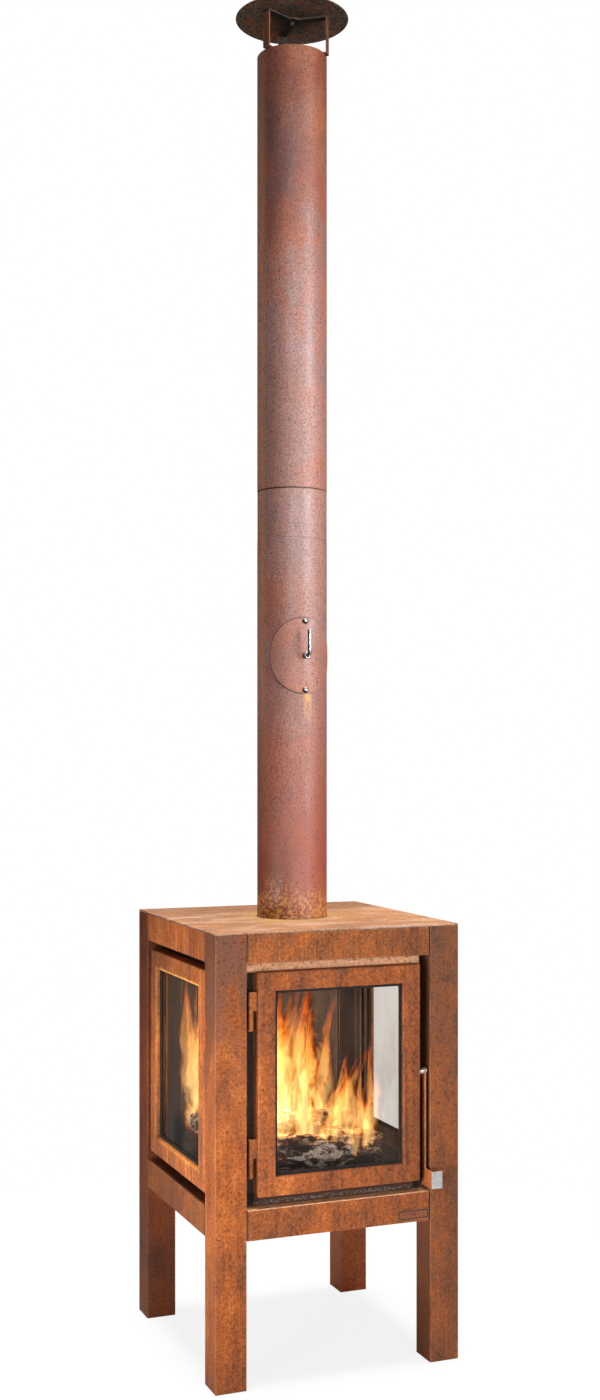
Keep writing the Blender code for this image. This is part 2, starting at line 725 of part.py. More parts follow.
# ---- flue ----
def flue():
    flange_top = BAY_TOP + GAP + COLLAR_FLANGE_T
    outer = PIPE_BORE - GAP
    inside = outer - COLLAR_T
    collar = [
        (outer, COLLAR_TOP),
        (outer, flange_top),
        (COLLAR_FLANGE_R, flange_top),
        (COLLAR_FLANGE_R, BAY_TOP + GAP),
        (inside, BAY_TOP + GAP),
        (inside, COLLAR_TOP),
    ]
    turned("flue_collar", fire_steel(), collar, sides=PIPE_SIDES)
    lower = tube(
        "flue_pipe_lower", pipe_rust(), PIPE_R, PIPE_BORE, flange_top + GAP, LOWER_PIPE_TOP
    )
    access = rod_mesh(1.0, CUT, "Y", sides=32)
    half_width, half_height = ACCESS_SIZE
    access.data.transform(Matrix.Diagonal((half_width, 1.0, half_height, 1.0)))
    access.location = (0, -PIPE_R, DAMPER_Z)
    boolean(lower, access, "DIFFERENCE")
    rear_hole = rod_mesh(SPINDLE_R + SPINDLE_PLAY, CUT / 2, "Y", (0, PIPE_R, DAMPER_Z), 16)
    boolean(lower, rear_hole, "DIFFERENCE")
    for rise in (-HATCH_BOLT_RISE, HATCH_BOLT_RISE):
        hole = rod_mesh(HATCH_BOLT_HOLE_R, CUT / 2, "Y", (0, -PIPE_R, DAMPER_Z + rise), 16)
        boolean(lower, hole, "DIFFERENCE")

    band = PIPE_R - COUPLER_STEP
    band_bottom = LOWER_PIPE_TOP + GAP
    band_top = UPPER_PIPE_BOTTOM - GAP
    coupler = [
        (outer, band_top + SPIGOT),
        (outer, band_top),
        (band, band_top),
        (band, band_bottom),
        (outer, band_bottom),
        (outer, band_bottom - SPIGOT),
        (inside, band_bottom - SPIGOT),
        (inside, band_top + SPIGOT),
    ]
    turned("flue_coupler", pipe_rust(), coupler, sides=PIPE_SIDES)
    tube("flue_pipe_upper", pipe_rust(), PIPE_R, PIPE_BORE, UPPER_PIPE_BOTTOM, PIPE_TOP)


def hatch():
    """A round blank rolled to the pipe, its spindle bush and its two bolts."""
    inside = PIPE_R + GAP
    outside = inside + PIPE_WALL
    tall = HATCH_R + PIPE_WALL
    cover = tube("hatch_cover", pipe_rust(), outside, inside, -tall, tall, sides=64)
    cover.location = (0, 0, DAMPER_Z)
    half_width = outside * sin(HATCH_R / outside)
    blank = rod_mesh(1.0, HATCH_R, "Y", sides=40)
    blank.data.transform(Matrix.Diagonal((half_width, 1.0, HATCH_R, 1.0)))
    blank.location = (0, -outside + HATCH_R / 8, DAMPER_Z)
    boolean(cover, blank, "INTERSECT")
    holes = [(0, SPINDLE_R + SPINDLE_PLAY)]
    holes += [(rise, HATCH_BOLT_HOLE_R) for rise in (HATCH_BOLT_RISE, -HATCH_BOLT_RISE)]
    for rise, radius in holes:
        hole = rod_mesh(radius, CUT, "Y", (0, -outside, DAMPER_Z + rise), 16)
        boolean(cover, hole, "DIFFERENCE")

    towards_front = (pi / 2, 0, 0)
    seat = outside + GAP
    for which, rise in (("upper", HATCH_BOLT_RISE), ("lower", -HATCH_BOLT_RISE)):
        at = (0, -seat, DAMPER_Z + rise)
        domed_bolt(
            f"hatch_bolt_{which}", HATCH_DOME, SHANK_R, HATCH_BOLT_LENGTH, at, towards_front
        )
    bush = [(BUSH_R - BUSH_EDGE, BUSH_LENGTH), (BUSH_R, BUSH_LENGTH - BUSH_EDGE), (BUSH_R, 0.0)]
    bush += [(SPINDLE_R + GAP, 0.0), (SPINDLE_R + GAP, BUSH_LENGTH)]
    turned("damper_bush", stainless(), bush, (0, -seat, DAMPER_Z), towards_front, 20)


def damper():
    """The spindle and its handle are one bent rod; the flap is welded along it."""
    curve = bpy.data.curves.new("spindle", "CURVE")
    curve.dimensions = "3D"
    curve.bevel_depth = SPINDLE_R
    curve.bevel_resolution = 3
    curve.use_fill_caps = True
    turn_y = SPINDLE_BEND - SPINDLE_REACH
    path = [(0, PIPE_R + SPINDLE_TAIL, 0), (0, turn_y, 0)]
    steps = 6
    for i in range(1, steps + 1):
        angle = pi / 2 * i / steps
        path.append((0, turn_y - SPINDLE_BEND * sin(angle), SPINDLE_BEND * (1 - cos(angle))))
    path.append((0, -SPINDLE_REACH, HANDLE_RISE))
    spline = curve.splines.new("POLY")
    spline.points.add(len(path) - 1)
    for target, point in zip(spline.points, path):
        target.co = (*point, 1)
    spindle = curve_to_mesh(curve)
    smooth(place(spindle, "damper_spindle", stainless(), (0, 0, DAMPER_Z)))
    flap = rod_mesh(FLAP_R, FLAP_T, "X", (SPINDLE_R + GAP + FLAP_T / 2, 0, 0), 40)
    smooth(place(flap, "damper_flap", sooty(), (0, 0, DAMPER_Z)))


# ---- rain cap ----
def rain_cap():
    disc = [
        (CAP_R - CAP_EDGE, CAP_BOTTOM + CAP_T),
        (CAP_R, CAP_BOTTOM + CAP_T - CAP_EDGE),
        (CAP_R, CAP_BOTTOM + CAP_EDGE),
        (CAP_R - CAP_EDGE, CAP_BOTTOM),
        (CAP_HOLE_R, CAP_BOTTOM),
        (CAP_HOLE_R, CAP_BOTTOM + CAP_T),
    ]
    turned("cap_disc", sooty(), disc, sides=56)

    top = CAP_BOTTOM - GAP
    rest = PIPE_TOP + STRAP_REST
    tail = PIPE_TOP - STRAP_TAIL
    outer = STRAP_R + STRAP_T / 2
    inner = STRAP_R - STRAP_T / 2
    outline = [
        (0.0, top),
        (outer, top),
        (outer, rest),
        (STRAP_GRIP, rest),
        (STRAP_GRIP, tail),
        (STRAP_GRIP - STRAP_T, tail),
        (STRAP_GRIP - STRAP_T, rest + STRAP_T),
        (inner, rest + STRAP_T),
        (inner, top - STRAP_T),
        (0.0, top - STRAP_T),
    ]
    bracket = rod_mesh(BRACKET_HUB_R, STRAP_T, centre=(0, 0, top - STRAP_T / 2))
    place(bracket, "cap_bracket", sooty())
    for bearing in STRAP_BEARINGS:
        strap = outline_plate([outline], STRAP_WIDTH)
        upright = Matrix.Rotation(radians(bearing), 4, "Z") @ Matrix.Rotation(pi / 2, 4, "X")
        strap.data.transform(upright)
        boolean(bracket, strap, "UNION")
    boolean(bracket, rod_mesh(CAP_HOLE_R, CUT / 2, centre=(0, 0, top), sides=16), "DIFFERENCE")

    over = CAP_BOTTOM + CAP_T + GAP
    under = top - 3 * STRAP_T
    bolt = [(0.0, over + 0.005), (0.004, over + 0.0045), (0.007, over + 0.002), (0.007, over)]
    bolt += [(0.004, over), (0.004, under), (0.0, under)]
    turned("cap_bolt", sooty(), bolt, sides=20, closed=False)


def build():
    clear_scene()
    legs()
    rails()
    top_plate()
    label_plate()
    bays()
    firebox_plates()
    fire_grate()
    baffle_plate()
    windows()
    door()
    hinges()
    latch()
    flue()
    hatch()
    damper()
    rain_cap()


build()
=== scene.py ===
"""Looks for the square outdoor wood stove in weathering steel, with its tall flue pipe.

Every object is in metres in the CAD frame: +Z up, the door faces -Y, the ground is Z = 0.
Places and sizes come from the CAD nodes' own boxes wherever a node has them.
"""

import json
import random
from math import cos, pi, radians, sin

import bmesh
import bpy
from mathutils import Matrix, Vector, noise

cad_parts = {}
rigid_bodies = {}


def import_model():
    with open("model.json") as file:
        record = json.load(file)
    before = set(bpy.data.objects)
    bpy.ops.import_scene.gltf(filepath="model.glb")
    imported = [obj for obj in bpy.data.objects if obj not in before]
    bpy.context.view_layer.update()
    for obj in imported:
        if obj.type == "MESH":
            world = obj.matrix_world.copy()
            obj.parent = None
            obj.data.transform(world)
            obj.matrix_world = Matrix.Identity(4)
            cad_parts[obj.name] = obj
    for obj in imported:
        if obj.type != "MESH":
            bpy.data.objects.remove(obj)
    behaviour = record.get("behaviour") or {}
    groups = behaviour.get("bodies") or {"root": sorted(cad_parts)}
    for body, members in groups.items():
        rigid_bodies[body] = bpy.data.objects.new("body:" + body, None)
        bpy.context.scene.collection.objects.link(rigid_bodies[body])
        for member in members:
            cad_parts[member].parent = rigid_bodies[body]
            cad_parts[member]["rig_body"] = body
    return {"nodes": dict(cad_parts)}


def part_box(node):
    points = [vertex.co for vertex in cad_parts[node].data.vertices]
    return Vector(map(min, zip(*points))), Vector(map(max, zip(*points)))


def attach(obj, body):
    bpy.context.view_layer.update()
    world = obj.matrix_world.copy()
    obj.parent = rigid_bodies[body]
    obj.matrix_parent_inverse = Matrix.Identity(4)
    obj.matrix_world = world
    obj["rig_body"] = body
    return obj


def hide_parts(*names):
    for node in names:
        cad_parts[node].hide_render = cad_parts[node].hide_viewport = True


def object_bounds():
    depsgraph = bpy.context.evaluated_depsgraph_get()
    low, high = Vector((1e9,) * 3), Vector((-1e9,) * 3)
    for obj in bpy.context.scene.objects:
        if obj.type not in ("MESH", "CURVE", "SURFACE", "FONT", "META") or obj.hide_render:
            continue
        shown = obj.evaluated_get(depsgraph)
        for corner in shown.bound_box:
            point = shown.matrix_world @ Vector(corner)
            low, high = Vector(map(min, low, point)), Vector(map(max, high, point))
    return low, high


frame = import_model()
CAD_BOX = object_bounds()

# ---- camera and light ----
CAMERA_AT = (-1.2915, -3.2704, 1.2599)
CAMERA_HEADING = radians(-21.83)
CAMERA_LENS = 41.89
CAMERA_RISE = 0.0351        # upward shift, as a share of the frame's longer side
CAMERA_REACH = 200.0
BACKDROP_LIGHT = 0.13       # the backdrop's strength as light; seen directly it is 1
SOFTBOXES = [               # name, place, aim, width, height, watts, spread in degrees
    ("pipe_key", (1.75, -2.62, 2.1), (0, 0, 1.95), 0.9, 1.8, 11.5, 45),
    ("pipe_fill", (-0.85, -2.95, 2.05), (0, 0, 1.95), 1.4, 1.8, 6.0, 45),
    ("front", (0.0, -2.6, 0.40), (0, -0.2, 0.42), 1.4, 0.8, 2.6, 42),
    ("front_left", (-1.25, -1.0, 0.35), (-0.265, -0.2, 0.5), 0.5, 0.5, 2.6, 70),
    ("left", (-2.2, -0.6, 0.45), (-0.265, -0.12, 0.54), 0.5, 0.5, 1.5, 25),
    ("overhead", (0.0, 0.0, 7.0), (0, 0, 0.9), 2.6, 2.6, 58, 40),
]

# ---- floor ----
FLOOR_SIZE = 60.0
FLOOR_DROP = 0.0005         # kept just under the feet
FLOOR_FADE = (0.5, 1.5)     # distances between which the floor turns into the white backdrop
FLOOR_HAZE = 0.86           # how much of that white is seen everywhere on it

# ---- shapes made here ----
PIPE_SEGMENTS = 144
PIPE_WALL = 0.002
DISC_SEGMENTS = 112
GAP = 0.0003                # between the pipe and the hatch cover
HATCH_OPENING = (0.046, 0.062)  # half width and half height of the hole behind the cover
HATCH_RINGS = (0.3, 0.6, 0.85)  # rings of points on the cover, as shares of its radius
HATCH_RIM = 0.0009          # softening of its outer edge
SPINDLE_HOLE = 0.0046
CAP_HOLE = 0.0045
SHEET = 0.003               # steel of the door and window frames
BEND = 0.0036               # outside radius of their folded edges
LIP = 0.010
BAR = 0.038
FRAME_CORNER = 0.0030
OPENING_CORNER = 0.0012
SHARPEST_CORNER = 0.0006
WELD = 1e-6                 # points nearer than this are one

# ---- the fire ----
LOGS = [                    # start, end and radius, with Z from the top of the grate
    ((-0.168, -0.128, 0.052), (0.070, -0.135, 0.036), 0.044),
    ((-0.060, -0.020, 0.060), (0.160, -0.110, 0.034), 0.038),
    ((-0.160, 0.020, 0.044), (0.120, 0.070, 0.036), 0.040),
    ((-0.140, -0.060, 0.100), (0.060, -0.040, 0.080), 0.032),
    ((-0.170, 0.030, 0.066), (-0.152, 0.165, 0.060), 0.030),
]
FLAMES = [                  # how many, and ranges of X, Y, height, width and degrees of turn
    (19, (-0.105, 0.005), (-0.14, 0.04), (0.33, 0.44), (0.060, 0.110), (-70, 40)),
    (17, (-0.050, 0.085), (-0.12, 0.10), (0.17, 0.31), (0.045, 0.085), (-70, 40)),
    (13, (0.040, 0.150), (-0.15, 0.02), (0.10, 0.21), (0.030, 0.055), (-70, 40)),
    (10, (-0.140, 0.130), (-0.165, -0.140), (0.07, 0.15), (0.025, 0.050), (-70, 40)),
    (6, (-0.186, -0.168), (0.120, 0.178), (0.33, 0.42), (0.030, 0.046), (-30, 0)),
]
FLAME_SEED = 11
FLAME_FOOT = (0.02, 0.08)   # how far above the grate a flame starts
FLAME_LEAN = (-0.02, 0.05)
FLAME_CEILING = 0.80        # height in the stove that no flame passes
FIRE_LAMPS = [              # name, place, watts
    ("fire_low", (-0.04, -0.05, 0.50), 4.0),
    ("fire_high", (-0.08, 0.0, 0.68), 2.5),
]
FIRELIGHT = (1.0, 0.50, 0.18)
LAMP_RADIUS = 0.06

# ---- colours ----
DEEP = (0.080, 0.026, 0.010)
BROWN = (0.215, 0.064, 0.018)
ORANGE = (0.385, 0.105, 0.020)
AMBER = (0.560, 0.195, 0.045)
SCALE = (0.125, 0.064, 0.046)
GREY_SCALE = (0.190, 0.092, 0.060)
UMBER = (0.170, 0.070, 0.036)
SCUFF = (0.075, 0.045, 0.036)
OCHRE = (0.720, 0.330, 0.060)
OCHRE_RUN = (0.560, 0.235, 0.055)
PURPLE_RUN = (0.120, 0.045, 0.036)
# Bright ochre for the ledge: dust and painted light.
OCHRE_DUST_AND_PAINTED_LIGHT = (0.900, 0.520, 0.270)
GOLD = (0.660, 0.310, 0.080)
SAND = (0.500, 0.225, 0.095)
PALE = (0.600, 0.330, 0.180)
# Pale surround colour: heat-paled steel and painted light.
HEAT_PALE_AND_PAINTED_LIGHT = (0.780, 0.420, 0.240)
# Light rust for the edges: wear and a painted highlight.
RUBBED_AND_HIGHLIT = (0.600, 0.330, 0.210)
SMOKED = (0.150, 0.055, 0.036)
SHADED = (0.130, 0.048, 0.022)
ASH = (0.420, 0.385, 0.345)
SOOT = (0.022, 0.018, 0.016)
SMOKE_BLACK = (0.036, 0.028, 0.027)
# Near-black for painted shade in joints and gaps, and for the dark band on the label plate.
GRIME_AND_PAINTED_SHADE = (0.030, 0.012, 0.007)
GREY_PINK = (0.245, 0.138, 0.126)
DUSK = (0.125, 0.050, 0.042)
# Orange painted on the pipe's left edge as a painted reflection.
PAINTED_REFLECTION_ORANGE = (0.560, 0.220, 0.100)
PRICK = (0.060, 0.026, 0.022)
CRUST = (0.620, 0.290, 0.060)
DRIP = (0.640, 0.260, 0.010)

# The flue's colours, each at a share of the stove's height.
FLUE_TONES = [
    (0.31, (0.235, 0.058, 0.022)), (0.42, (0.300, 0.100, 0.060)), (0.55, (0.300, 0.142, 0.112)),
    (0.70, (0.300, 0.144, 0.112)), (0.84, (0.290, 0.084, 0.042)), (0.95, (0.260, 0.054, 0.019)),
]
FLUE_WARM_TONES = [
    (0.45, (0.340, 0.098, 0.060)), (0.85, (0.370, 0.115, 0.050)), (0.93, (0.400, 0.125, 0.045)),
]
FLAME_TONES = [
    (0.0, (0.85, 0.07, 0.005)), (0.30, (1.0, 0.21, 0.02)), (0.65, (1.0, 0.42, 0.08)),
    (1.0, (1.0, 0.66, 0.24)),
]


# ---- shader nodes ----
class Finish:
    """A material being made. Each method adds shader nodes and returns their output."""

    def __init__(self, name, seed=0.0):
        self.mat = bpy.data.materials.new(name)
        self.mat.use_nodes = True
        self.nodes = self.mat.node_tree.nodes
        self.links = self.mat.node_tree.links
        self.nodes.clear()
        self.place = self.add("TexCoord").outputs["Object"]
        self.seed = seed

    def add(self, kind, **settings):
        node = self.nodes.new("ShaderNode" + kind)
        for key, value in settings.items():
            setattr(node, key, value)
        return node

    def feed(self, socket, value):
        if isinstance(value, bpy.types.NodeSocket):
            self.links.new(value, socket)
        elif socket.type == "RGBA":
            socket.default_value = (*value, 1.0)
        else:
            socket.default_value = value

    def math(self, operation, a, b=0.0):
        node = self.add("Math", operation=operation)
        self.feed(node.inputs[0], a)
        self.feed(node.inputs[1], b)
        return node.outputs[0]

    def times(self, product, *factors):
        for factor in factors:
            product = self.math("MULTIPLY", product, factor)
        return product

    def plus(self, a, b):
        return self.math("ADD", a, b)

    def minus(self, a, b):
        return self.math("SUBTRACT", a, b)

    def size(self, a):
        return self.math("ABSOLUTE", a)

    def most(self, a, b):
        return self.math("MAXIMUM", a, b)

    def least(self, a, b):
        return self.math("MINIMUM", a, b)

    def axis(self, letter):
        node = self.add("SeparateXYZ")
        self.feed(node.inputs[0], self.place)
        return node.outputs[letter]

    def away(self, centre, flat=(1, 1, 1)):
        """Distance from a point, along the axes that flat keeps."""
        moved = self.add("VectorMath", operation="SUBTRACT")
        self.feed(moved.inputs[0], self.place)
        moved.inputs[1].default_value = centre
        kept = self.add("VectorMath", operation="MULTIPLY")
        self.feed(kept.inputs[0], moved.outputs[0])
        kept.inputs[1].default_value = flat
        length = self.add("VectorMath", operation="LENGTH")
        self.feed(length.inputs[0], kept.outputs[0])
        return length.outputs["Value"]

    def noise(self, scale, detail, roughness=0.55, stretch=(1, 1, 1), distortion=0.0):
        """Values round 0.5. scale is about how many blotches there are in a metre, and a
        stretch below 1 draws them out along that axis."""
        moved = self.add("Mapping")
        self.feed(moved.inputs["Vector"], self.place)
        moved.inputs["Location"].default_value = (self.seed, self.seed * 0.7, -self.seed)
        moved.inputs["Scale"].default_value = stretch
        node = self.add("TexNoise")
        self.feed(node.inputs["Vector"], moved.outputs[0])
        node.inputs["Scale"].default_value = scale
        node.inputs["Detail"].default_value = detail
        node.inputs["Roughness"].default_value = roughness
        node.inputs["Distortion"].default_value = distortion
        return node.outputs["Fac"]

    def between(self, value, low, high, bottom=0.0, top=1.0):
        """Goes smoothly from bottom to top as value goes from low to high."""
        node = self.add("MapRange", interpolation_type="SMOOTHSTEP")
        for socket, number in zip(node.inputs, (value, low, high, bottom, top)):
            self.feed(socket, number)
        return node.outputs[0]

    def mix(self, share, a, b, blend="MIX"):
        """Colour a where share is 0 and colour b, or their product, where it is 1."""
        node = self.add("Mix", data_type="RGBA", blend_type=blend)
        self.feed(node.inputs[0], share)
        self.feed(node.inputs[6], a)
        self.feed(node.inputs[7], b)
        return node.outputs[2]

    def blend(self, share, a, b):
        """Shader a where share is 0 and shader b where it is 1."""
        node = self.add("MixShader")
        for socket, source in zip(node.inputs, (share, a, b)):
            self.feed(socket, source)
        return node.outputs[0]

    def ramp(self, value, stops):
        node = self.add("ValToRGB")
        self.feed(node.inputs[0], value)
        points = node.color_ramp.elements
        while len(points) < len(stops):
            points.new(0.5)
        for point, (position, colour) in zip(points, stops):
            point.position = position
            point.color = (*colour, 1.0)
        return node.outputs[0]

    def grained(self, colour, fineness, depth):
        """The colour made lighter and darker from speck to speck."""
        speck = self.noise(fineness, 3, 0.8)
        node = self.add("VectorMath", operation="SCALE")
        self.feed(node.inputs[0], colour)
        self.feed(node.inputs["Scale"], self.between(speck, 0.34, 0.66, 1 - depth, 1 + depth))
        return node.outputs[0]

    def edges(self, radius):
        """1 along sharp edges and 0 on flat or gently curved faces."""
        rounded = self.add("Bevel", samples=4)
        rounded.inputs["Radius"].default_value = radius
        flat = self.add("NewGeometry")
        dot = self.add("VectorMath", operation="DOT_PRODUCT")
        self.feed(dot.inputs[0], rounded.outputs[0])
        self.feed(dot.inputs[1], flat.outputs["Normal"])
        return self.between(dot.outputs["Value"], 0.90, 0.996, 1.0, 0.0)

    def painted_crevice_shade(self, reach, share=0.85):
        """Painted shade in joints and under edges: an ambient occlusion mask, no further from the
        next surface than reach.
        """
        node = self.add("AmbientOcclusion", samples=6)
        node.inputs["Distance"].default_value = reach
        return self.between(node.outputs["AO"], 0.72, 0.30, 0.0, share)

    def bump(self, height, depth, strength, under=None):
        node = self.add("Bump")
        self.feed(node.inputs["Height"], height)
        node.inputs["Distance"].default_value = depth
        node.inputs["Strength"].default_value = strength
        if under is not None:
            self.feed(node.inputs["Normal"], under)
        return node.outputs[0]

    def principled(self, colour, roughness, metallic=0.0, normal=None, **more):
        node = self.add("BsdfPrincipled")
        self.feed(node.inputs["Base Color"], colour)
        self.feed(node.inputs["Roughness"], roughness)
        self.feed(node.inputs["Metallic"], metallic)
        if normal is not None:
            self.feed(node.inputs["Normal"], normal)
        for key, value in more.items():
            self.feed(node.inputs[key.replace("_", " ")], value)
        return node.outputs[0]

    def done(self, surface):
        output = self.add("OutputMaterial")
        self.feed(output.inputs["Surface"], surface)
        return self.mat


# ---- finishes ----
def rust(name, seed, warm, dark, streaks, extra=None, tint=(1, 1, 1)):
    """Weathering steel. warm moves the tone from brown to orange, dark is how much brown mill
    scale is left, streaks is how strongly rain has drawn it down, extra is a function that
    adds a part's own marks to the colour, and tint multiplies them all but the painted shade in
    the joints. The edges are lighter, partly as wear and partly as a painted highlight."""
    f = Finish(name, seed)
    cloud = f.noise(4.5, 4, 0.6, (1, 1, 0.6))
    blotch = f.noise(24.0, 7, 0.66, (1, 1, 0.5), 0.3)
    streak = f.noise(1.0, 4, 0.65, (150, 150, 7))
    grain = f.noise(170.0, 4, 0.75)
    parts = ((cloud, 0.60), (blotch, 0.60), (streak, streaks), (grain, 0.60))
    tone = 0.0
    for part, share in parts:
        tone = f.plus(tone, f.times(part, share))
    middle = sum(share for _, share in parts) / 2 - 0.20 * (warm - 0.5)
    tone = f.between(tone, middle - 0.31, middle + 0.31)
    colour = f.ramp(tone, [(0.0, DEEP), (0.30, BROWN), (0.68, ORANGE), (1.0, AMBER)])

    smudge = f.noise(30.0, 9, 0.76, (1, 1, 1.3), 0.6)
    where = f.noise(6.0, 2, 0.5)
    left = 0.10 + 0.85 * dark
    scale = f.times(f.between(smudge, 0.52, 0.63), f.between(where, 0.42, 0.62), left)
    colour = f.mix(scale, colour, SCALE)
    if extra:
        colour = extra(f, colour)
    colour = f.grained(colour, 200.0, 0.26)
    pits = f.between(f.noise(130.0, 4, 0.7), 0.56, 0.66)
    colour = f.mix(f.times(pits, 0.70), colour, DEEP)
    # Lighter edges: partly real wear, partly a painted highlight along the edges.
    worn_and_highlit = f.times(f.edges(0.0024), f.between(blotch, 0.30, 0.58))
    colour = f.mix(f.times(worn_and_highlit, 0.60), colour, RUBBED_AND_HIGHLIT)
    colour = f.mix(1.0, colour, tint, "MULTIPLY")
    # Painted shade: joints and the undersides of edges are darkened by an ambient occlusion mask.
    colour = f.mix(f.painted_crevice_shade(0.007), colour, GRIME_AND_PAINTED_SHADE)

    roughness = f.between(blotch, 0.3, 0.7, 0.62, 0.82)
    roughness = f.minus(roughness, f.times(scale, 0.16))
    normal = f.bump(grain, 0.0009, 0.5)
    normal = f.bump(blotch, 0.0016, 0.4, normal)
    return f.done(f.principled(colour, roughness, 0.0, normal, Specular_IOR_Level=0.22))


def grey_brown_top(f, colour):
    """Brown-grey scale left near the top of a leg."""
    height = f.between(f.axis("Z"), 0.42, 0.86)
    patch = f.between(f.noise(11.0, 5, 0.65, (1, 1, 0.5)), 0.34, 0.58)
    return f.mix(f.times(height, patch, 0.75), colour, GREY_SCALE)


def scuffed_with_painted_shade(f, colour):
    """Darker steel with near-black scuffs, browner near the top; the side by the door is painted
    darker as painted shade.
    """
    colour = f.mix(0.35, colour, UMBER)
    colour = f.mix(f.between(f.axis("Z"), 0.50, 0.85, 0.0, 0.5), colour, SCUFF)
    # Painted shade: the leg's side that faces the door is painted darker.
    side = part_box("leg_front_right")[0].x
    colour = f.mix(f.between(f.axis("X"), side + 0.0016, side + 0.0006, 0.0, 0.6), colour, DEEP)
    scuff = f.between(f.noise(20.0, 9, 0.85, (1.4, 1, 0.7), 0.8), 0.50, 0.58)
    high = f.between(f.axis("Z"), 0.25, 0.85, 0.40, 0.85)
    return f.mix(f.times(scuff, high), colour, SCUFF)


def painted_joint_shade(f, colour):
    """Painted shade: a dark line at each end of a rail, where it meets its leg."""
    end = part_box("upper_rail_front")[1].x
    along = f.least(f.size(f.axis("X")), f.size(f.axis("Y")))
    return f.mix(f.between(along, end - 0.0030, end - 0.0010, 0.0, 0.92), colour, GRIME_AND_PAINTED_SHADE)


def ledge_tones(f, colour):
    """Ochre dust on the ledge under the door, painted brighter as painted light where the lamps
    barely reach.
    """
    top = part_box("lower_rail_front")[1].z
    colour = painted_joint_shade(f, colour)
    # Painted light and dust: the top face of the ledge is painted bright ochre.
    dusty = f.between(f.axis("Z"), top - 0.0010, top - 0.0003)
    return f.mix(dusty, colour, OCHRE_DUST_AND_PAINTED_LIGHT)


def label_tones(f, colour):
    """The plate is browned by smoke and darker in a band just inside its edges."""
    low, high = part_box("label_plate")
    middle = (low + high) / 2
    across = f.size(f.minus(f.axis("X"), middle.x))
    up = f.size(f.minus(f.axis("Z"), middle.z))
    across = f.minus(across, high.x - middle.x)
    up = f.minus(up, high.z - middle.z)
    rim = f.between(f.most(across, up), -0.0038, -0.0022, 0.0, 0.95)
    return f.mix(rim, smoky(f, colour), GRIME_AND_PAINTED_SHADE)


def side_rail_tones(f, colour):
    return painted_joint_shade(f, streaky(f, colour))


def smoky(f, colour):
    """Browned by the smoke."""
    return f.mix(0.5, colour, SMOKED)


def bracket_tones(f, colour):
    """Smoke has blackened the arms under the cap and the strap at the rear."""
    colour = smoky(f, colour)
    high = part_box("cap_bracket")[1].z
    arms = f.between(f.axis("Z"), high - 0.008, high - 0.004)
    rear = f.between(f.axis("Y"), 0.015, 0.030)
    return f.mix(f.most(arms, rear), colour, SMOKE_BLACK)


def shaded_rear(f, colour):
    """Browner, darker steel on the rear legs: painted shade."""
    return f.mix(0.45, colour, SHADED)


def streaky(f, colour):
    """Fine runs of ochre and dark purple down a rail or a window frame."""
    run = f.noise(1.0, 6, 0.7, (150, 150, 6))
    colour = f.mix(f.times(f.between(run, 0.52, 0.66), 0.55), colour, OCHRE_RUN)
    return f.mix(f.times(f.between(run, 0.46, 0.34), 0.55), colour, PURPLE_RUN)


def top_tones(f, colour):
    """Golden rust round the pipe's foot, pale patches, and a browner band along the rear edge."""
    spread = f.noise(14.0, 4, 0.6)
    out = f.plus(f.away((0, 0, 0), (1, 1, 0)), f.times(spread, 0.09))
    ring = f.between(out, 0.185, 0.115)
    colour = f.mix(0.35, colour, SAND)
    pale = f.between(f.noise(13.0, 7, 0.7, (0.6, 1.5, 1), 0.5), 0.46, 0.62)
    colour = f.mix(f.times(pale, 0.45), colour, PALE)
    rear = f.between(f.plus(f.axis("Y"), f.times(spread, 0.08)), 0.10, 0.22)
    colour = f.mix(f.times(rear, 0.6), colour, BROWN)
    return f.mix(f.times(ring, 0.50), colour, GOLD)


def bay_tones(f, colour):
    """The surround is painted pale all over, partly from heat and partly as painted light, so the
    band above the door reads lit. Beside the door and round the windows it is painted near-black
    as painted shade, within it is sooty, and below the door it is painted nearly black as painted
    shade, with specks of ash on it."""
    low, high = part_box("firebox_front_frame")
    across = f.size(f.axis("X"))
    along = f.size(f.axis("Y"))
    height = f.axis("Z")
    # Painted light and heat: the whole surround is paled so the band above the door reads lit.
    colour = f.mix(0.80, colour, HEAT_PALE_AND_PAINTED_LIGHT)
    # Painted shade: below the door the surround is painted nearly black.
    below = f.between(height, low.z + 0.030, low.z + 0.022)
    colour = f.mix(below, colour, (0.045, 0.020, 0.011))
    speck = f.between(f.noise(200.0, 3, 0.7), 0.46, 0.60, 0.0, 0.25)
    ashy = f.times(f.between(height, low.z + 0.012, low.z + 0.005), speck)
    colour = f.mix(ashy, colour, ASH)
    # Painted shade: beside the door and on the frames round the windows the surround is painted
    # near-black.
    painted_shade_beside = f.between(f.least(across, along), 0.1725, 0.1765, 0.0, 0.97)
    painted_shade_beside = f.times(painted_shade_beside, f.between(height, high.z - 0.016, high.z - 0.022))
    sides = f.between(f.minus(across, along), -0.002, 0.002)
    colour = f.mix(f.most(painted_shade_beside, sides), colour, (0.006, 0.002, 0.001))
    inside = f.between(f.most(across, along), -low.y - 0.0004, -low.y - 0.0012)
    return f.mix(inside, colour, SOOT)


def window_tones(f, colour):
    """Bright ochre along the inner edge of the opening, most of it at the top and the front."""
    low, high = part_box("window_frame_left")
    middle = (low + high) / 2
    across = f.minus(f.size(f.axis("Y")), (high.y - low.y) / 2 - BAR)
    up = f.size(f.minus(f.axis("Z"), middle.z))
    up = f.minus(up, (high.z - low.z) / 2 - BAR)
    out = f.most(across, up)
    crust = f.noise(70.0, 5, 0.7)
    near = f.between(f.plus(out, f.times(crust, 0.010)), 0.0130, 0.0060)
    high_up = f.between(f.axis("Z"), 0.50, 0.78, 0.35, 1.0)
    high_up = f.times(high_up, f.between(f.axis("Y"), middle.y + 0.13, middle.y + 0.10, 0.15, 1.0))
    colour = streaky(f, colour)
    return f.mix(f.times(near, high_up), colour, OCHRE)


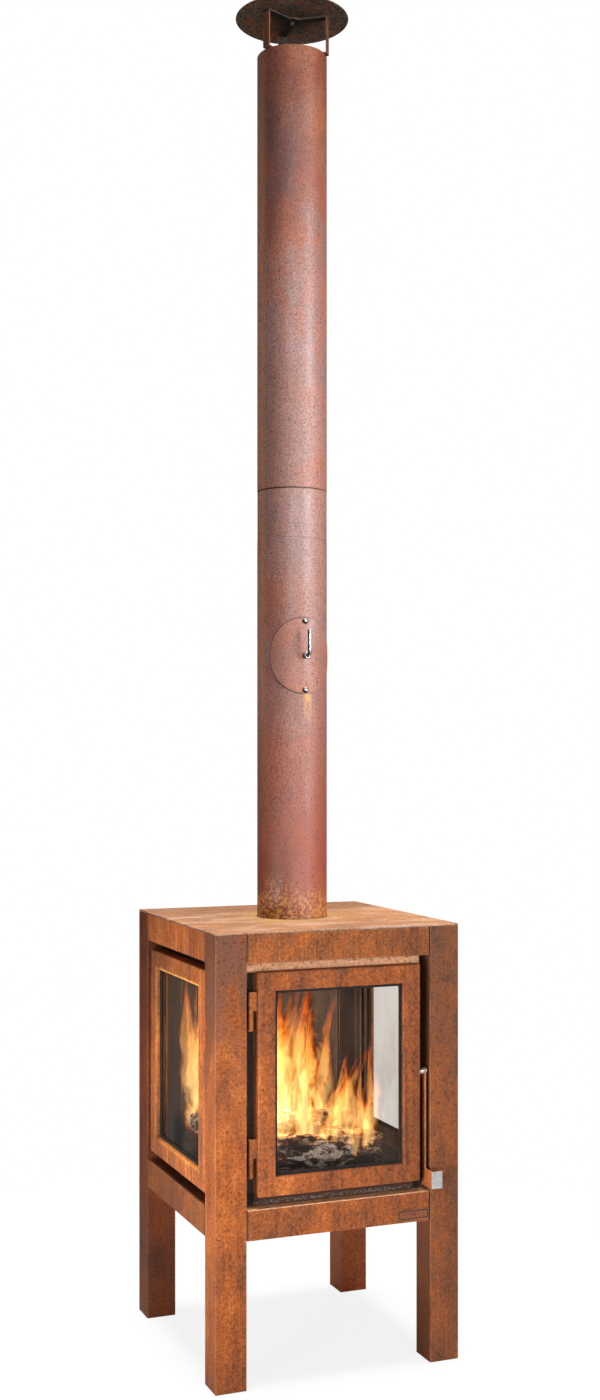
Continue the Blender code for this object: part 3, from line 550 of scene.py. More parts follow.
def pipe_rust(name, seed, extra):
    """The flue's finer, pinker rust: grey patches of scale half-way up, dusky ones near the cap,
    stronger on the left side as painted shade, an orange left edge that is a painted reflection,
    salt-and-pepper grain and a satin sheen."""
    f = Finish(name, seed)
    height = f.axis("Z")
    share = f.times(height, 1 / CAD_BOX[1].z)
    cloud = f.noise(6.0, 5, 0.62, (1, 1, 0.6), 0.3)
    cloud = f.plus(cloud, f.between(height, 2.40, 2.62, 0.0, 0.08))
    warm = f.times(f.between(cloud, 0.50, 0.64), 0.8)
    colour = f.mix(warm, f.ramp(share, FLUE_TONES), f.ramp(share, FLUE_WARM_TONES))

    grey = f.noise(10.0, 6, 0.68, (1, 1, 0.6), 0.4)
    low = f.between(height, 1.20, 1.60, 0.10, 0.70)
    high = f.between(height, 2.7, 2.3, 0.4, 1.0)
    patch = f.times(low, high, f.between(grey, 0.47, 0.60))
    colour = f.mix(patch, colour, GREY_PINK)

    dusk = f.between(f.noise(5.0, 6, 0.72, (1, 1, 0.5)), 0.42, 0.62)
    low = f.between(height, 2.0, 2.45, 0.35, 0.85)
    high = f.between(height, 2.72, 2.55, 0.3, 1.0)
    # Painted shade: the dusky patches are made stronger on the left side of the pipe.
    left = f.between(f.axis("X"), 0.03, -0.035, 0.25, 1.0)
    colour = f.mix(f.times(dusk, f.times(low, high, left)), colour, DUSK)

    # Painted reflection: the pipe's left edge is painted orange.
    side = f.between(f.away((0.070, -0.028, 0), (1, 1, 0)), 0.138, 0.147)
    side = f.times(side, f.between(height, 1.15, 1.45, 0.0, 0.6))
    colour = f.mix(side, colour, PAINTED_REFLECTION_ORANGE)
    grain = f.noise(300.0, 3, 0.8)
    colour = extra(f, f.grained(colour, 300.0, 0.42))

    pricks = f.between(f.noise(230.0, 2, 0.5), 0.60, 0.67)
    where = f.between(f.noise(9.0, 3, 0.6), 0.35, 0.60, 0.25, 1.0)
    colour = f.mix(f.times(pricks, where, 0.85), colour, PRICK)
    # Painted shade: joints and the edges round the hatch are darkened by an ambient occlusion
    # mask.
    colour = f.mix(f.painted_crevice_shade(0.006, 0.95), colour, GRIME_AND_PAINTED_SHADE)

    roughness = f.between(grey, 0.42, 0.66, 0.53, 0.37)
    normal = f.bump(grain, 0.0008, 0.55)
    normal = f.bump(f.noise(60.0, 4, 0.6), 0.0012, 0.25, normal)
    return f.done(f.principled(colour, roughness, 0.0, normal, Specular_IOR_Level=0.68))


def lower_pipe_marks(f, colour):
    """Golden crust in specks where the pipe meets the stove, a red flush above it, painted shade
    that darkens the pipe towards its foot, a painted shadow round the hatch cover, stronger on
    its left, and a drip of rust from its lower bolt."""
    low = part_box("top_plate")[1].z
    level = f.plus(f.axis("Z"), f.times(f.noise(20.0, 4, 0.6), 0.10))
    # Painted shade: the pipe is painted darker towards its foot.
    near = f.between(level, low + 0.40, low + 0.14)
    colour = f.mix(near, colour, (0.82, 0.60, 0.44), "MULTIPLY")
    foot = f.between(level, low + 0.24, low + 0.10)
    colour = f.mix(foot, colour, (0.84, 0.70, 0.58), "MULTIPLY")
    right = f.between(f.axis("X"), -0.06, 0.02)
    flush = f.times(f.between(level, low + 0.48, low + 0.16), right, 0.65)
    colour = f.mix(flush, colour, (0.400, 0.098, 0.055))
    specks = f.between(f.noise(140.0, 3, 0.7), 0.44, 0.60)
    crust = f.times(f.between(level, low + 0.155, low + 0.055), specks, 0.85)
    colour = f.mix(crust, colour, CRUST)

    start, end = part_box("hatch_cover")
    front = f.minus(0.0, f.axis("Y"))
    across = f.times(f.math("ARCTAN2", f.axis("X"), front), -start.y)
    up = f.minus(f.axis("Z"), (start.z + end.z) / 2)
    out = f.math("SQRT", f.plus(f.times(across, across), f.times(up, up)))
    out = f.minus(out, (end.z - start.z) / 2)
    # Painted shadow: a dark line round the hatch cover, stronger on its left.
    line = f.between(out, 0.0030, 0.0014)
    line = f.times(line, f.between(across, 0.03, -0.02, 0.25, 0.95))
    colour = f.mix(line, colour, GRIME_AND_PAINTED_SHADE)

    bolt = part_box("hatch_bolt_lower")[0].z
    width = f.between(f.away((0.006, 0, 0), (1, 0, 0)), 0.013, 0.001)
    foot = f.between(f.axis("Z"), bolt - 0.075, bolt - 0.010)
    head = f.between(f.axis("Z"), bolt + 0.004, bolt - 0.004)
    front = f.between(f.axis("Y"), 0.0, -0.03)
    broken = f.between(f.noise(90.0, 4, 0.7), 0.38, 0.52)
    return f.mix(f.times(width, foot, head, front, broken, 0.85), colour, DRIP)


def hatch_tones(f, colour):
    """Redder patches, and orange rust round the lower bolt."""
    flush = f.between(f.noise(16.0, 3, 0.6), 0.40, 0.60)
    colour = f.mix(f.times(flush, 0.30), colour, (0.360, 0.120, 0.060))
    low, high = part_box("hatch_bolt_lower")
    stain = f.away((-0.008, 0, (low.z + high.z) / 2), (0.6, 0, 1))
    stain = f.plus(stain, f.times(f.noise(60.0, 4, 0.7), 0.030))
    broken = f.between(f.noise(120.0, 3, 0.7), 0.40, 0.60)
    stain = f.times(f.between(stain, 0.036, 0.018), broken, 0.7)
    return f.mix(stain, colour, (0.520, 0.180, 0.020))


def seam_tones(f, colour):
    """Orange bleeds from the joint into the steel on both sides of it."""
    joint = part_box("flue_pipe_upper")[0].z
    off = f.size(f.minus(f.axis("Z"), joint))
    stain = f.between(f.plus(off, f.times(f.noise(30.0, 4), 0.012)), 0.014, 0.004)
    colour = f.mix(f.times(stain, 0.45), colour, (0.330, 0.110, 0.045))
    # Painted shade: a dark line along the joint, stronger on the left side.
    line = f.between(off, 0.0024, 0.0008, 0.0, 0.9)
    line = f.times(line, f.between(f.axis("X"), 0.06, -0.02, 0.35, 1.0))
    return f.mix(line, colour, GRIME_AND_PAINTED_SHADE)


def sooted(name, seed, rusty, rained=None):
    """Steel darkened by smoke, with rust breaking through in ragged patches, as strongly as
    rusty says. rained is the height above which rain has rusted it brown."""
    f = Finish(name, seed)
    grain = f.noise(170.0, 4, 0.75)
    patch = f.noise(26.0, 7, 0.72, (1, 1, 1), 0.6)
    colour = f.mix(f.between(grain, 0.35, 0.65), (0.034, 0.024, 0.019), (0.260, 0.165, 0.100))
    colour = f.mix(f.times(f.between(patch, 0.50, 0.62), rusty), colour, (0.270, 0.082, 0.032))
    mould = f.between(f.noise(40.0, 5, 0.7), 0.54, 0.64)
    colour = f.mix(f.times(mould, 0.5), colour, (0.085, 0.078, 0.055))
    if rained is not None:
        brown = f.mix(f.between(patch, 0.40, 0.60), DEEP, BROWN)
        colour = f.mix(f.between(f.axis("Z"), rained - 0.0004, rained, 0.0, 0.9), colour, brown)
    roughness = f.between(patch, 0.4, 0.65, 0.62, 0.85)
    normal = f.bump(grain, 0.0012, 0.6)
    return f.done(f.principled(colour, roughness, 0.0, normal, Specular_IOR_Level=0.30))


def firebox_steel(name, seed):
    """Plate inside the fire: soot over grey-brown heat scale, with pale ash in the grain."""
    f = Finish(name, seed)
    cloud = f.noise(12.0, 6, 0.7, (1, 1, 0.7))
    grain = f.noise(190.0, 4, 0.75)
    colour = f.mix(f.between(cloud, 0.40, 0.64), (0.030, 0.027, 0.025), (0.082, 0.062, 0.050))
    ash = f.times(f.between(grain, 0.56, 0.72), f.between(f.axis("Z"), 0.52, 0.36))
    colour = f.mix(f.times(ash, 0.6), colour, ASH)
    normal = f.bump(grain, 0.0010, 0.5)
    return f.done(f.principled(colour, 0.78, 0.0, normal, Specular_IOR_Level=0.30))


def stainless(name, brushed=(1, 1, 1), dull=0.0, dark=0.0):
    """Bright steel with a little brown dust. brushed stretches its fine lines, dull adds to its
    roughness, and dark is how strongly the sides that face down and left are painted near-black as
    painted shade."""
    f = Finish(name)
    lines = f.noise(60.0, 4, 0.7, brushed)
    dust = f.noise(150.0, 4, 0.7)
    colour = f.mix(f.between(lines, 0.35, 0.65), (0.40, 0.39, 0.38), (0.64, 0.63, 0.62))
    colour = f.mix(f.times(f.between(dust, 0.60, 0.72), 0.3), colour, (0.22, 0.12, 0.075))
    # Painted shade: the sides that face down and left are painted near-black.
    if dark:
        under = f.add("VectorMath", operation="DOT_PRODUCT")
        f.feed(under.inputs[0], f.add("TexCoord").outputs["Normal"])
        under.inputs[1].default_value = (-0.6, 0.3, -0.74)
        colour = f.mix(f.between(under.outputs["Value"], 0.0, 0.25, 0.0, dark), colour, SOOT)
    roughness = f.between(lines, 0.3, 0.7, 0.22 + dull, 0.34 + dull)
    metallic = f.between(dust, 0.60, 0.74, 1.0, 0.7)
    normal = f.bump(lines, 0.0002, 0.4)
    return f.done(f.principled(colour, roughness, metallic, normal))


def braid(name):
    """Black glass-fibre rope and tape: a fine crossed weave."""
    f = Finish(name)
    waves = []
    for direction in ((1, 1, 1), (1, 1, -1)):
        turned = f.add("Mapping")
        f.feed(turned.inputs["Vector"], f.place)
        turned.inputs["Scale"].default_value = direction
        wave = f.add("TexWave", bands_direction="DIAGONAL")
        f.feed(wave.inputs["Vector"], turned.outputs[0])
        wave.inputs["Scale"].default_value = 120.0
        wave.inputs["Distortion"].default_value = 0.6
        waves.append(wave.outputs["Fac"])
    weave = f.most(*waves)
    dusty = f.noise(40.0, 4, 0.6)
    colour = f.mix(weave, (0.006, 0.006, 0.006), (0.024, 0.022, 0.022))
    colour = f.mix(f.times(f.between(dusty, 0.5, 0.7), 0.35), colour, (0.060, 0.042, 0.032))
    normal = f.bump(weave, 0.0006, 0.7)
    return f.done(f.principled(colour, 0.85, 0.0, normal, Specular_IOR_Level=0.10))


def glass(name):
    """Clear pane: see-through, mirroring the room more at a slant, with patches of smoke haze."""
    f = Finish(name)
    facing = f.add("LayerWeight").outputs["Facing"]
    side = f.add("NewGeometry").outputs["Backfacing"]
    mirror = f.plus(0.045, f.times(f.math("POWER", facing, 4.0), 0.80))
    mirror = f.times(mirror, f.minus(1.0, side))
    clear = f.add("BsdfTransparent")
    clear.inputs["Color"].default_value = (0.945, 0.925, 0.905, 1.0)
    gloss = f.add("BsdfGlossy")
    gloss.inputs["Roughness"].default_value = 0.02
    pane = f.blend(mirror, clear.outputs[0], gloss.outputs[0])
    haze = f.principled((0.16, 0.13, 0.11), 0.6)
    smoke = f.between(f.noise(9.0, 5, 0.6, (1, 1, 0.5)), 0.45, 0.75, 0.0, 0.10)
    return f.done(f.blend(smoke, pane, haze))


# ---- pieces ----
def link(data):
    """A new object in the scene with this mesh, light or camera, and with its name."""
    obj = bpy.data.objects.new(data.name, data)
    bpy.context.scene.collection.objects.link(obj)
    return obj


def mesh_of(bm, name):
    mesh = bpy.data.meshes.new(name)
    bm.to_mesh(mesh)
    bm.free()
    return mesh


def stand_for(obj, node, finish):
    """The new object rides where the CAD node does and is shown in its place."""
    source = frame["nodes"][node]
    obj.name = f"{node}_detail"
    obj.data.name = obj.name
    obj.data.materials.clear()
    obj.data.materials.append(finish)
    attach(obj, source["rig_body"])
    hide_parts(node)
    return obj


def soften(obj, angle, edge=0.0):
    """Smooth shading that keeps flat faces flat and corners above angle sharp, and rounded
    edges if edge is given."""
    for face in obj.data.polygons:
        face.use_smooth = True
    obj.data.set_sharp_from_angle(angle=radians(angle))
    if edge:
        mod = obj.modifiers.new("edge", "BEVEL")
        mod.width = edge
        mod.segments = 3
        mod.limit_method = "ANGLE"
        mod.angle_limit = radians(40)
        mod.harden_normals = True
    mod = obj.modifiers.new("normals", "WEIGHTED_NORMAL")
    mod.keep_sharp = True


def refined(node, finish, edge=0.0, angle=35):
    """A CAD node's own shape with its triangles joined into faces and its normals smoothed."""
    bm = bmesh.new()
    bm.from_mesh(frame["nodes"][node].data)
    bmesh.ops.remove_doubles(bm, verts=bm.verts, dist=2 * WELD)
    bmesh.ops.dissolve_limit(bm, angle_limit=radians(0.5), verts=bm.verts, edges=bm.edges)
    obj = link(mesh_of(bm, node))
    if "custom_normal" in obj.data.attributes:
        obj.data.attributes.remove(obj.data.attributes["custom_normal"])
    soften(obj, angle, edge)
    return stand_for(obj, node, finish)


def grid_mesh(rings, name, closed=True):
    """Faces between each ring of points and the next; every ring is a closed loop, and the
    last ring joins the first if closed."""
    bm = bmesh.new()
    made = [[bm.verts.new(point) for point in ring] for ring in rings]
    pairs = list(zip(made, made[1:]))
    if closed:
        pairs.append((made[-1], made[0]))
    count = len(made[0])
    for first, second in pairs:
        for i in range(count):
            j = (i + 1) % count
            bm.faces.new((first[i], first[j], second[j], second[i]))
    bmesh.ops.remove_doubles(bm, verts=bm.verts, dist=WELD)
    bmesh.ops.recalc_face_normals(bm, faces=bm.faces)
    return mesh_of(bm, name)


def arc(centre, radius, start, end, steps):
    """Points on part of a circle; the angles are in degrees."""
    angles = [radians(start + (end - start) * i / steps) for i in range(steps + 1)]
    return [(centre[0] + radius * cos(a), centre[1] + radius * sin(a)) for a in angles]


def turned(profile, name, segments):
    """A solid of revolution about Z from a closed profile of (radius, height)."""
    rings = []
    for radius, height in profile:
        turns = [2 * pi * i / segments for i in range(segments)]
        rings.append([(radius * cos(a), radius * sin(a), height) for a in turns])
    return grid_mesh(rings, name)


def rounded_loop(width, height, radius):
    """Points round a rectangle with rounded corners, in X and Z, about the origin."""
    points = []
    for quarter, (sx, sz) in enumerate(((1, 1), (-1, 1), (-1, -1), (1, -1))):
        centre = (sx * (width / 2 - radius), sz * (height / 2 - radius))
        points += arc(centre, radius, 90 * quarter, 90 * quarter + 90, 4)
    return points


def folded_profile(depth):
    """Section through a frame bar as (distance in from the outer edge, depth from the face)."""
    inner = BEND - SHEET
    outside = [(0, depth), *arc((BEND, BEND), BEND, 180, 270, 5)]
    outside += [*arc((BAR - BEND, BEND), BEND, 270, 360, 5), (BAR, LIP)]
    inside = [(BAR - SHEET, LIP), *arc((BAR - BEND, BEND), inner, 360, 270, 3)]
    inside += [*arc((BEND, BEND), inner, 270, 180, 3), (SHEET, depth)]
    return outside + inside


def folded_frame(node, finish, facing):
    """A door or window frame folded from sheet, as large as its CAD node. facing is the turn
    about Z from a frame that faces -Y."""
    low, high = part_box(node)
    middle = (low + high) / 2
    size = high - low
    width, depth = (size.y, size.x) if abs(sin(facing)) > 0.5 else (size.x, size.y)
    rings = []
    for inset, back in folded_profile(depth):
        corner = OPENING_CORNER
        if inset < BAR / 2:
            corner = max(FRAME_CORNER - inset, SHARPEST_CORNER)
        loop = rounded_loop(width - 2 * inset, size.z - 2 * inset, corner)
        rings.append([(x, back - depth / 2, z) for x, z in loop])
    mesh = grid_mesh(rings, node)
    mesh.transform(Matrix.Translation(middle) @ Matrix.Rotation(facing, 4, "Z"))
    obj = link(mesh)
    soften(obj, 60)
    stand_for(obj, node, finish)


def cut(obj, cutter):
    """Takes the cutter's shape out of the object."""
    mod = obj.modifiers.new("cut", "BOOLEAN")
    mod.object = cutter
    mod.solver = "EXACT"
    graph = bpy.context.evaluated_depsgraph_get()
    obj.data = bpy.data.meshes.new_from_object(obj.evaluated_get(graph))
    obj.modifiers.clear()
    bpy.data.objects.remove(cutter, do_unlink=True)


def rod(radius_x, radius_z, middle, length, segments):
    """A bar of round or oval section along Y, for cutting."""
    bm = bmesh.new()
    bmesh.ops.create_cone(bm, cap_ends=True, segments=segments, radius1=1, radius2=1, depth=length)
    bmesh.ops.transform(bm, matrix=Matrix.Rotation(pi / 2, 4, "X"), verts=bm.verts)
    bmesh.ops.scale(bm, vec=(radius_x, 1, radius_z), verts=bm.verts)
    bmesh.ops.translate(bm, vec=middle, verts=bm.verts)
    return link(mesh_of(bm, "cutter"))


def pipe(node, finish, top_bevel, bottom_bevel):
    """A flue section. The lower one has an opening behind the hatch cover and a hole for the
    spindle in its rear wall."""
    low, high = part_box(node)
    outer = high.x
    bore = outer - PIPE_WALL
    profile = [
        (outer, high.z - top_bevel), (outer, low.z + bottom_bevel), (outer - bottom_bevel, low.z),
        (bore, low.z), (bore, high.z), (outer - top_bevel, high.z),
    ]
    obj = link(turned(profile, node, PIPE_SEGMENTS))
    if node == "flue_pipe_lower":
        start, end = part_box("hatch_cover")
        z = (start.z + end.z) / 2
        cut(obj, rod(*HATCH_OPENING, (0, -outer, z), 0.06, 48))
        cut(obj, rod(SPINDLE_HOLE, SPINDLE_HOLE, (0, outer, z), 0.03, 24))
    soften(obj, 40)
    stand_for(obj, node, finish)


def hatch_cover(finish, rim):
    """A round blank rolled to the pipe, with a soft rim painted dark as painted shade and a hole
    for the spindle.
    """
    low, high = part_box("hatch_cover")
    outer = -low.y
    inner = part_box("flue_pipe_lower")[1].x + GAP
    middle = (low.z + high.z) / 2
    reach = (high.z - low.z) / 2
    soft = HATCH_RIM
    section = [(SPINDLE_HOLE, inner), (SPINDLE_HOLE, outer)]
    section += [(reach * share, outer) for share in HATCH_RINGS]
    section += [(reach - soft, outer), (reach - soft * 0.3, outer - soft * 0.3)]
    section += [(reach, outer - soft), (reach, inner)]
    section += [(reach * share, inner) for share in reversed(HATCH_RINGS)]
    rings = []
    for distance, radius in section:
        ring = []
        for i in range(DISC_SEGMENTS):
            turn = 2 * pi * i / DISC_SEGMENTS
            bearing = distance * cos(turn) / outer
            z = middle + distance * sin(turn)
            ring.append((radius * sin(bearing), -radius * cos(bearing), z))
        rings.append(ring)
    obj = link(grid_mesh(rings, "hatch_cover"))
    soften(obj, 40)
    stand_for(obj, "hatch_cover", finish)
    obj.data.materials.append(rim)
    # The rim faces take the dark finish: painted shade.
    for face in obj.data.polygons:
        if abs(face.normal.xy.dot(face.center.xy.normalized())) < 0.5:
            face.material_index = 1


def cap_disc(finish):
    """The rain cap's round plate, with a rounded edge and a hole for its bolt."""
    low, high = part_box("cap_disc")
    edge = (high.z - low.z) / 2
    middle = (high.z + low.z) / 2
    rim = arc((high.x - edge, middle), edge, 90, -90, 8)
    profile = [(CAP_HOLE, high.z), *rim, (CAP_HOLE, low.z)]
    obj = link(turned(profile, "cap_disc", DISC_SEGMENTS))
    soften(obj, 40)
    stand_for(obj, "cap_disc", finish)


def latch_lever(finish, bright):
    """The lever, with its finger tab rubbed back to bright steel in front."""
    obj = refined("latch_lever", finish, 0.0005)
    obj.data.materials.append(bright)
    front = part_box("latch_lever")[0].y
    for face in obj.data.polygons:
        if abs(face.center.y - front) < 0.0002 and face.normal.y < -0.9:
            face.material_index = 1


def firebox_back(outside, inside):
    """The rear tray: rusted on the outside and sooted within."""
    obj = refined("firebox_back", outside)
    obj.data.materials.append(inside)
    low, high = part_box("firebox_back")
    edge = 0.0005
    for face in obj.data.polygons:
        c = face.center
        rear_or_side = c.y > high.y - edge or abs(c.x) > high.x - edge
        top_or_bottom = c.z > high.z - edge or c.z < low.z + edge
        face.material_index = 0 if rear_or_side or top_or_bottom else 1


# ---- fire, which is not part of the stove ----
def log(name, start, end, radius, seed, finish):
    """A log: a round bar with ridged bark, closed at both ends by rings of no size."""
    along = end - start
    turn = along.to_track_quat("Z", "Y").to_matrix().to_4x4()
    steps = 22
    around = 40
    rings = []
    for i in range(-1, steps + 2):
        share = min(max(i / steps, 0), 1)
        ring = []
        for j in range(around):
            angle = 2 * pi * j / around
            spot = Vector((cos(angle) * 1.3, sin(angle) * 1.3, share * 3 + seed))
            bark = noise.fractal(spot * 2.6, 0.8, 2.1, 4)
            size = radius * (0.86 + 0.16 * bark) if 0 <= i <= steps else 0.0
            ring.append((size * cos(angle), size * sin(angle), share * along.length))
        rings.append(ring)
    mesh = grid_mesh(rings, name, closed=False)
    mesh.transform(Matrix.Translation(start) @ turn)
    obj = link(mesh)
    soften(obj, 70)
    obj.data.materials.append(finish)


def charred(name):
    """Burning wood: char, white ash on the ridges and glowing cracks."""
    f = Finish(name)
    ridge = f.noise(46.0, 7, 0.75, (0.35, 1, 1), 0.9)
    fine = f.noise(160.0, 4, 0.7)
    colour = f.mix(f.between(ridge, 0.42, 0.58), (0.030, 0.020, 0.016), (0.120, 0.075, 0.050))
    ash = f.times(f.between(ridge, 0.49, 0.57), f.between(fine, 0.35, 0.6, 0.4, 1.0))
    colour = f.mix(ash, colour, (0.74, 0.66, 0.58))
    glow = f.times(f.between(ridge, 0.42, 0.34), f.between(f.noise(12.0, 3), 0.50, 0.66))
    more = {"Emission_Color": (1.0, 0.22, 0.03), "Emission_Strength": f.times(glow, 3.0)}
    return f.done(f.principled(colour, 0.9, 0.0, f.bump(ridge, 0.006, 0.9), **more))


def flame_finish():
    """Light that adds to what is behind it: pale yellow low in the tongue, orange at its tip."""
    f = Finish("flame")
    parts = f.add("SeparateXYZ")
    f.feed(parts.inputs[0], f.add("UVMap", uv_map="tongue").outputs[0])
    across = f.size(f.minus(parts.outputs["X"], 0.5))
    up = parts.outputs["Y"]
    wisp = f.noise(24.0, 5, 0.62, (1, 1, 0.45), 1.2)
    across = f.plus(across, f.times(f.minus(wisp, 0.5), 1.1))
    middle = f.between(across, 0.40, 0.12)
    foot = f.between(up, 0.0, 0.10)
    tip = f.between(f.plus(up, f.times(wisp, 0.7)), 1.42, 0.85)
    share = f.times(middle, foot, tip)
    heat = f.times(share, f.between(up, 1.0, 0.05, 0.42, 1.0))
    light = f.add("Emission")
    f.feed(light.inputs["Color"], f.ramp(heat, FLAME_TONES))
    f.feed(light.inputs["Strength"], f.times(share, 0.50))
    both = f.add("AddShader")
    f.feed(both.inputs[0], light.outputs[0])
    f.feed(both.inputs[1], f.add("BsdfTransparent").outputs[0])
    mat = f.done(both.outputs[0])
    mat.cycles.emission_sampling = "NONE"
    return mat


def tongue(index, base, width, height, facing, lean, finish):
    """One curling ribbon of flame, wide low down and pointed at the top."""
    steps = 14
    across = 6
    bm = bmesh.new()
    layer = bm.loops.layers.uv.new("tongue")
    rows = []
    for i in range(steps + 1):
        v = i / steps
        half = width / 2 * (0.35 + 1.0 * sin(pi * min(v * 1.15 + 0.12, 1.0))) * (1 - 0.55 * v)
        sway = 0.22 * width * sin(5.0 * v + index * 1.7) * v
        row = []
        for j in range(across + 1):
            u = j / across
            x = (2 * u - 1) * half + sway + lean * v * v
            y = 0.25 * width * cos(3.0 * (u - 0.5)) + 0.15 * width * sin(4.0 * v + index)
            spot = Vector((x, y, v * height))
            row.append((bm.verts.new(spot), u, v))
        rows.append(row)
    for first, second in zip(rows, rows[1:]):
        for j in range(across):
            corners = (first[j], first[j + 1], second[j + 1], second[j])
            face = bm.faces.new([c[0] for c in corners])
            for loop, (_, u, v) in zip(face.loops, corners):
                loop[layer].uv = (u, v)
    mesh = mesh_of(bm, f"flame_{index}")
    mesh.transform(Matrix.Translation(base) @ Matrix.Rotation(facing, 4, "Z"))
    obj = link(mesh)
    obj.data.materials.append(finish)
    obj.visible_shadow = False


def fire():
    """Logs, flames and their light: what the stove holds in use, kept off the object."""
    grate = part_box("fire_grate")[1].z + 0.001
    rise = Vector((0, 0, grate))
    wood = charred("burning_wood")
    for index, (start, end, radius) in enumerate(LOGS):
        log(f"log_{index}", Vector(start) + rise, Vector(end) + rise, radius, 3.0 * index, wood)

    flame = flame_finish()
    chance = random.Random(FLAME_SEED)
    count = 0
    for number, across, deep, tall, wide, turn in FLAMES:
        for _ in range(number):
            x, y = chance.uniform(*across), chance.uniform(*deep)
            base = (x, y, grate + chance.uniform(*FLAME_FOOT))
            facing = radians(chance.uniform(*turn))
            lean = chance.uniform(*FLAME_LEAN)
            height = min(chance.uniform(*tall), FLAME_CEILING - base[2])
            tongue(count, base, chance.uniform(*wide), height, facing, lean, flame)
            count += 1
    for name, place, power in FIRE_LAMPS:
        data = bpy.data.lights.new(name, "POINT")
        data.energy = power
        data.color = FIRELIGHT
        data.shadow_soft_size = LAMP_RADIUS
        link(data).location = place


# ---- stage ----
def camera():
    data = bpy.data.cameras.new("camera")
    data.lens = CAMERA_LENS
    data.shift_y = CAMERA_RISE
    data.clip_end = CAMERA_REACH
    obj = link(data)
    obj.location = CAMERA_AT
    obj.rotation_euler = (pi / 2, 0, CAMERA_HEADING)
    bpy.context.scene.camera = obj


def softbox(name, place, aim, width, height, power, spread):
    data = bpy.data.lights.new(name, "AREA")
    data.shape = "RECTANGLE"
    data.size = width
    data.size_y = height
    data.energy = power
    data.spread = radians(spread)
    obj = link(data)
    obj.location = place
    obj.rotation_euler = (Vector(aim) - Vector(place)).to_track_quat("-Z", "Y").to_euler()


def studio():
    """A white backdrop, dimmer as light than it looks, and the softboxes."""
    world = bpy.data.worlds.new("studio")
    bpy.context.scene.world = world
    world.use_nodes = True
    nodes = world.node_tree.nodes
    links = world.node_tree.links
    nodes.clear()
    seen = nodes.new("ShaderNodeBackground")
    cast = nodes.new("ShaderNodeBackground")
    cast.inputs["Strength"].default_value = BACKDROP_LIGHT
    path = nodes.new("ShaderNodeLightPath")
    pick = nodes.new("ShaderNodeMixShader")
    output = nodes.new("ShaderNodeOutputWorld")
    for shade in (seen, cast):
        shade.inputs["Color"].default_value = (1, 1, 1, 1)
    links.new(path.outputs["Is Camera Ray"], pick.inputs[0])
    links.new(cast.outputs[0], pick.inputs[1])
    links.new(seen.outputs[0], pick.inputs[2])
    links.new(pick.outputs[0], output.inputs["Surface"])

    for box in SOFTBOXES:
        softbox(*box)


def floor():
    """A pale matte floor that turns white with distance, where the backdrop takes over."""
    bm = bmesh.new()
    bmesh.ops.create_grid(bm, x_segments=8, y_segments=8, size=FLOOR_SIZE / 2)
    obj = link(mesh_of(bm, "floor"))
    obj.location = (0, 0, -FLOOR_DROP)
    f = Finish("pale_floor")
    tone = f.between(f.noise(3.0, 3), 0.3, 0.7)
    matte = f.principled(f.mix(tone, (0.86, 0.86, 0.85), (0.89, 0.89, 0.88)), 0.6)
    white = f.add("Emission")
    seen = f.add("LightPath").outputs["Is Camera Ray"]
    f.feed(white.inputs["Strength"], f.between(seen, 0.0, 1.0, BACKDROP_LIGHT, 1.0))
    far = f.between(f.away((0, 0, 0)), *FLOOR_FADE)
    share = f.most(far, f.times(seen, FLOOR_HAZE))
    obj.data.materials.append(f.done(f.blend(share, matte, white.outputs[0])))


# ---- the stove ----
def body():
    """Legs, rails, top plate and label plate."""
    legs = {            # seed, warm, dark, streaks, own marks, tint
        "leg_front_left": (1.3, 0.45, 0.40, 0.3, grey_brown_top, (0.78, 0.71, 0.66)),
        "leg_front_right": (2.9, 0.30, 0.90, 0.3, scuffed_with_painted_shade, (0.98, 0.88, 0.73)),
        # The rear legs' darker tints and shaded_rear are painted shade.
        "leg_rear_left": (5.1, 0.35, 0.80, 0.2, shaded_rear, (0.64, 0.50, 0.46)),
        "leg_rear_right": (7.7, 0.45, 0.60, 0.2, shaded_rear, (0.90, 0.68, 0.55)),
    }
    for node, looks in legs.items():
        refined(node, rust(f"rust_{node}", *looks))

    rails = {           # which rails, then the same looks
        "rust_upper_rails": (
            "upper_rail", ("front", "rear"), 11.0, 0.30, 0.45, 0.45, painted_joint_shade, (1.12, 1.12, 1.06)),
        "rust_upper_side_rails": (
            "upper_rail", ("left", "right"), 12.6, 0.60, 0.30, 0.45, side_rail_tones,
            (1.10, 1.02, 1.15)),
        "rust_lower_rails": (
            "lower_rail", ("front", "rear"), 14.2, 0.50, 0.45, 0.25, ledge_tones,
            (0.90, 0.85, 0.86)),
        "rust_lower_side_rails": (
            "lower_rail", ("left", "right"), 15.6, 0.45, 0.55, 0.25, painted_joint_shade, (0.60, 0.60, 0.64)),
    }
    for name, (level, sides, *looks) in rails.items():
        finish = rust(name, *looks)
        for side in sides:
            refined(f"{level}_{side}", finish)

    top = rust("rust_top", 17.0, 0.75, 0.10, 0.0, top_tones, (0.88, 1.12, 1.50))
    refined("top_plate", top)
    refined("label_plate", rust("rust_label", 18.0, 0.30, 0.3, 0.1, label_tones), 0.0003)


def firebox():
    """The surround frames, the rear tray and the plates inside."""
    plate = firebox_steel("firebox_plate", 3.0)
    # The surround's finish holds painted light above the door and painted shade beside and below
    # it.
    surround = rust("surround_with_painted_light_and_shade", 21.0, 0.45, 0.5, 0.2, bay_tones)
    for side in ("front", "left", "right"):
        refined(f"firebox_{side}_frame", surround)
    firebox_back(rust("rust_back", 23.0, 0.5, 0.5, 0.3), plate)
    for node in ("firebox_floor", "firebox_roof", "fire_grate", "baffle_plate"):
        refined(node, plate, 0.0006)
    refined("flue_collar", plate)


